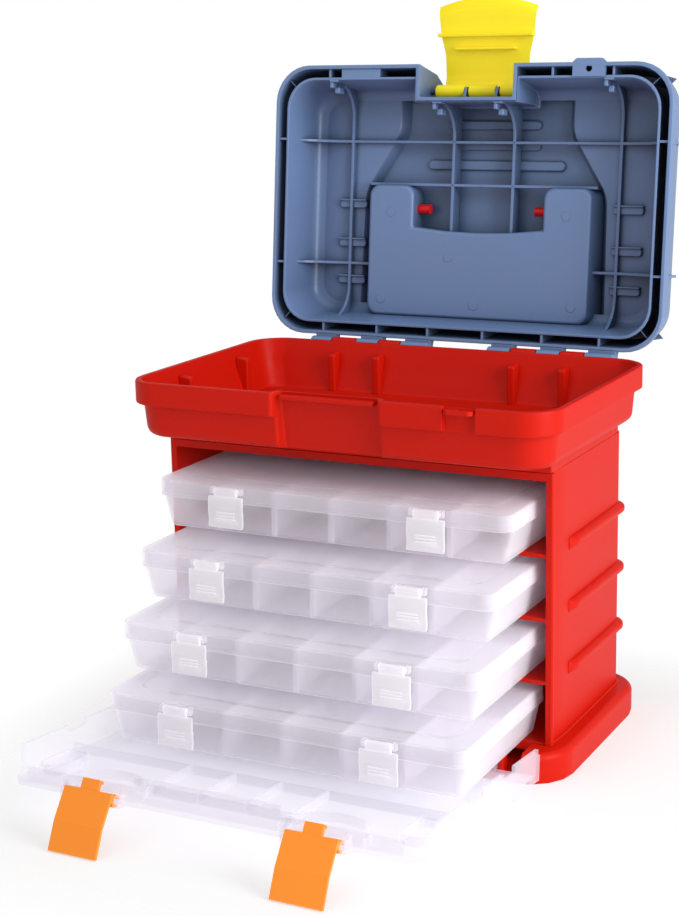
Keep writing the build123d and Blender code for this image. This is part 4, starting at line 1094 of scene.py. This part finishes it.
def binFittings():
    v = binValues
    left, back = -v["tubFloor"][0], v["tubFloor"][2]
    parts = []
    foot, ribTop, half = v["floor"] - 1, v["top"] - v["ribDrop"], v["ribHalf"]
    for x in v["ribsAt"]:
        profile = [(back - 2.4, foot), (back - 2.4, ribTop), (back + 7.5, ribTop + 1.5), (back + 2, foot)]
        parts.append(slab(profile, 2.0, x - half, x + half, 1.2, "x"))
    for y in v["sideRibs"]:
        profile = [(foot, left - 2), (ribTop + 1.5, left - 7.5), (ribTop, left + 2.4), (foot, left + 2.4)]
        parts.append(slab(profile, 2.0, y - half, y + half, 1.2, "y"))
    lip = (v["top"] - 1.5 - v["lip"], v["top"] - 1.5)
    under = (v["recessTop"] - 5.0, v["recessTop"] + 1.0)
    parts.append(block((-v["lipHalf"], v["lipHalf"]), under, lip, 0.6, 1.5))
    tab, front = (v["haspFrom"] + 1.0, v["haspTo"] - 1.0), v["front"]
    parts += eyeTab(tab, front - 2.6, front + 5.0, lip[0], lip[1], front + 1.4, 2.0)
    y, z = lidValues["hingeY"], lidValues["hingeZ"]
    web = [(v["back"] - 1, z - 9), (y + 1, z - 4), (y + 1, z), (y, z + 2), (v["back"] - 1, z + 2)]
    for span in v["hingeSpans"]:
        parts += knuckle(span, y, z, lidValues["knuckle"], web)
    column = cabinetValues
    plan = boxCorners((-column["half"], column["half"]), (column["front"], column["back"]))
    parts.append(slab(plan, (0.8, 0.8, 10.0, 10.0), v["footTop"] + 0.05, v["low"] + 0.3, 0.5))
    return parts


def makeBin():
    parts = binShell() + binFittings()
    makePiece("binShell", parts, "cabinet", materials["red"], ["top_bin"], None, 40)
    print("bin made")


# Cabinet
cabinetValues = {
    "half": 127.3, "lipHalf": 128.6, "front": -61.0, "lipBack": -58.0, "groove": 125.5, "grooveEnd": -36.0,
    "back": 64.5, "corner": 7.0, "low": 3.0, "top": 184.0, "inner": 124.0, "innerFront": -58.5,
    "innerBack": 62.0, "innerCut": 5.0, "header": 179.0, "floor": 16.0, "seats": (135.6, 96.9, 58.2, 19.5),
    "runner": 106.0, "runnerThick": 2.5, "bands": (131.2, 92.5, 53.8), "bandHeight": 7.5, "bandProud": 4.0,
    "bandFront": -31.0, "bandFade": 9.0, "bandEdge": 0.3, "bandPower": 3.2,
}


# The right half of the column in plan, front to back: the lip, then a rounded front corner,
# x = groove + (half - groove) * sin(pi/2 * share), and the back corner as a quarter circle.
def columnSide(grow=0.0):
    v = cabinetValues
    half, back, corner = v["half"] + grow, v["back"] + grow, v["corner"] + grow
    points = [(v["lipHalf"] + grow, v["front"] + 0.9), (v["lipHalf"] + grow, v["lipBack"] - 0.4),
              (v["lipHalf"] + grow - 0.4, v["lipBack"]), (v["groove"] + grow, v["lipBack"])]
    for share in np.linspace(0, 1, 9)[1:]:
        x = v["groove"] + grow + (v["half"] - v["groove"]) * sin(pi / 2 * share)
        points.append((x, v["lipBack"] + (v["grooveEnd"] - v["lipBack"]) * share))
    for t in np.linspace(0, pi / 2, 9):
        points.append((half - corner + corner * cos(t), back - corner + corner * sin(t)))
    return points


def cabinetBody():
    v = cabinetValues
    outer = [(v["inner"], v["front"] + 0.5), (v["inner"] + 0.5, v["front"]), (v["lipHalf"] - 0.9, v["front"])]
    outer += columnSide()
    inner = [(v["inner"] - v["innerCut"], v["innerBack"]), (v["inner"], v["innerBack"] - v["innerCut"])]
    both = outer + [(-x, y) for x, y in reversed(outer)]
    ring = np.array(both + [(-x, y) for x, y in reversed(inner)] + inner)
    return skin([raised(ring, v["low"]), raised(ring, v["top"])], True, True)


# A moulded band: its section bulges out by proud * (1 - |s|^power), s running from -1 to 1 over its
# height, and it dies away at the front as 1 - (1 - share)^2 over bandFade.
def cabinetBand(low):
    v = cabinetValues
    height, edge, fade = v["bandHeight"], v["bandEdge"], v["bandFade"]
    path = []
    for run in (0.0, 1.5, 3.5, 6.0, fade, 20.0 - v["bandFront"]):
        share = 1 - (1 - min(1.0, run / fade)) ** 2
        path.append((v["half"], v["bandFront"] + run, 1.0, 0.0, share))
    centre = (v["half"] - v["corner"], v["back"] - v["corner"])
    for t in np.linspace(0, pi / 2, 13):
        path.append((centre[0] + v["corner"] * cos(t), centre[1] + v["corner"] * sin(t), cos(t), sin(t), 1.0))
    path += [(-x, y, -nx, ny, share) for x, y, nx, ny, share in reversed(path)]
    spread = np.linspace(-1, 1, 15)
    rings = []
    for x, y, nx, ny, share in path:
        ring = [(x - nx, y - ny, low + height), (x - nx, y - ny, low)]
        for s in spread:
            out = edge + (v["bandProud"] - edge) * (1 - abs(s) ** v["bandPower"]) * share
            ring.append((x + nx * out, y + ny * out, low + height / 2 * (1 + s)))
        rings.append(np.array(ring))
    return skin(rings, True, True)


def makeCabinet():
    v = cabinetValues
    inner, back = v["inner"] + 0.5, v["innerBack"] + 0.5
    parts = [cabinetBody()]
    parts += [cabinetBand(low) for low in v["bands"]]
    parts.append(block((-inner, inner), (v["front"], v["innerFront"]), (v["header"], v["top"] - 0.1), 0.4))
    parts.append(block((-inner, inner), (v["front"] + 0.8, back), (v["floor"] - 2.5, v["floor"]), 0.4))
    for seat in v["seats"]:
        low = v["floor"] - 0.5 if seat == min(v["seats"]) else seat - v["runnerThick"]
        for side in (-1, 1):
            across = sorted((side * v["runner"], side * inner))
            parts.append(block(across, (v["front"] + 1.0, back), (low, seat), 0.4, 0.8))
    look = materials["red"]
    makePiece("cabinetShell", parts, "cabinet", look, ["cabinet_shell"], None, 40)
    print("cabinet made")


# Base, with a low sill between its two front horns
baseValues = {
    "half": 138.7, "depth": 80.0, "corner": 28.0, "height": 18.5, "edge": 4.5, "sill": 5.0, "bay": 116.0,
    "gap": 0.25,
    "hingeX": 95.0, "hingeY": -77.0, "hingeZ": 13.5, "lugHalf": 7.0, "lugThick": 3.0,
}


# Outer side of the base, from the right horn round the back to the left horn, set in by inset.
def baseOutside(inset, bay):
    v = baseValues
    x, y, radius = v["half"] - v["corner"], v["depth"] - v["corner"], v["corner"] - inset
    start = -acos(min(1.0, (bay - x) / radius))
    points = [(x + radius * cos(t), -y + radius * sin(t)) for t in np.linspace(start, 0, 14)]
    points += [(x + radius * cos(t), y + radius * sin(t)) for t in np.linspace(0, pi / 2, 14)]
    return points + [(-px, py) for px, py in reversed(points)]


# The plinth stands round the column's plan, on a low slab that shows as the sill between its horns. Its
# upper edge is a quarter circle, edge * (1 - cos t) inwards against edge * sin t upwards.
def baseBody():
    v = baseValues
    bay, height, edge = v["bay"], v["height"], v["edge"]
    wall = cabinetValues["front"] - v["gap"]
    seat = [(bay, wall), (cabinetValues["lipHalf"] + v["gap"], wall)] + columnSide(v["gap"])
    hollow = [(-x, y) for x, y in seat] + seat[::-1]
    levels = [(0.0, v["sill"] - 0.4), (0.0, height - edge)]
    levels += [(edge * (1 - cos(t)), height - edge + edge * sin(t)) for t in np.linspace(0, pi / 2, 8)[1:]]
    upper = skin([raised(np.array(baseOutside(inset, bay) + hollow), z) for inset, z in levels], True, True)
    full = boxCorners((-v["half"], v["half"]), (-v["depth"], v["depth"]))
    lower = slab(full, v["corner"], 0.0, v["sill"], 0.5)
    return [upper, lower]


# The thin bead round the cabinet's foot.
def baseBead():
    v = baseValues
    section = ((-0.1, -0.4), (1.5, -0.4), (1.4, 0.4), (0.7, 0.9), (-0.1, 0.8))
    path = np.array(columnSide(v["gap"])[4:])
    path = np.vstack([path, path[::-1] * (-1, 1)])
    ahead = np.gradient(path, axis=0)
    out = np.column_stack([ahead[:, 1], -ahead[:, 0]]) / np.linalg.norm(ahead, axis=1)[:, None]
    rings = []
    for (x, y), (nx, ny) in zip(path, out):
        rings.append([(x + reach * nx, y + reach * ny, v["height"] + rise) for reach, rise in section])
    return skin(rings, True, True)


def baseFittings():
    v = baseValues
    y, z, half, thick = v["hingeY"], v["hingeZ"], v["lugHalf"], v["lugThick"]
    parts = []
    lug = [(y - 2.8, v["sill"] - 0.5), (y + 5.5, v["sill"] - 0.5), (y + 3.8, z + 3.8), (y - 2.8, z + 3.8)]
    for side in (-1, 1):
        centre = side * v["hingeX"]
        for start in (centre - half - thick, centre + half):
            parts.append(slab(lug, (0.4, 0.4, 2.6, 2.6), start, start + thick, 0.4, "x"))
        parts.append(rod((centre - half - 0.5, centre + half + 0.5), y, z, 2.0, 0.1, 20))
    return parts


def makeBase():
    parts = baseBody() + [baseBead()] + baseFittings()
    makePiece("basePlinth", parts, "cabinet", materials["red"], ["base_plinth"], None, 40)
    print("base made")


makeBin()
makeCabinet()
makeBase()


# CAD nodes that stay in view, each with its plastic and the width of its softened edges
nodeSharpest = 40.0
nodeLook = {
    "lid_hinge_pin_left": ("slate", 0.2), "lid_hinge_pin_right": ("slate", 0.2),
    "lid_latch_pin": ("slate", 0.2), "carry_handle": ("handleRed", 0.6), "front_cover": ("cover", 0.35),
    "cover_latch_left": ("orange", 0.35), "cover_latch_right": ("orange", 0.35),
}
for nodeName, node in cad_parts.items():
    if node.hide_render:
        continue
    look, edge = nodeLook.get(nodeName, ("case", 0.3))
    node.data.materials.clear()
    node.data.materials.append(materials[look])
    softened = node.modifiers.new("softened", "BEVEL")
    softened.width, softened.segments, softened.limit_method = edge * mm, 2, "ANGLE"
    softened.angle_limit = radians(nodeSharpest)
    node.modifiers.new("evened", "WEIGHTED_NORMAL")
print("nodes dressed")
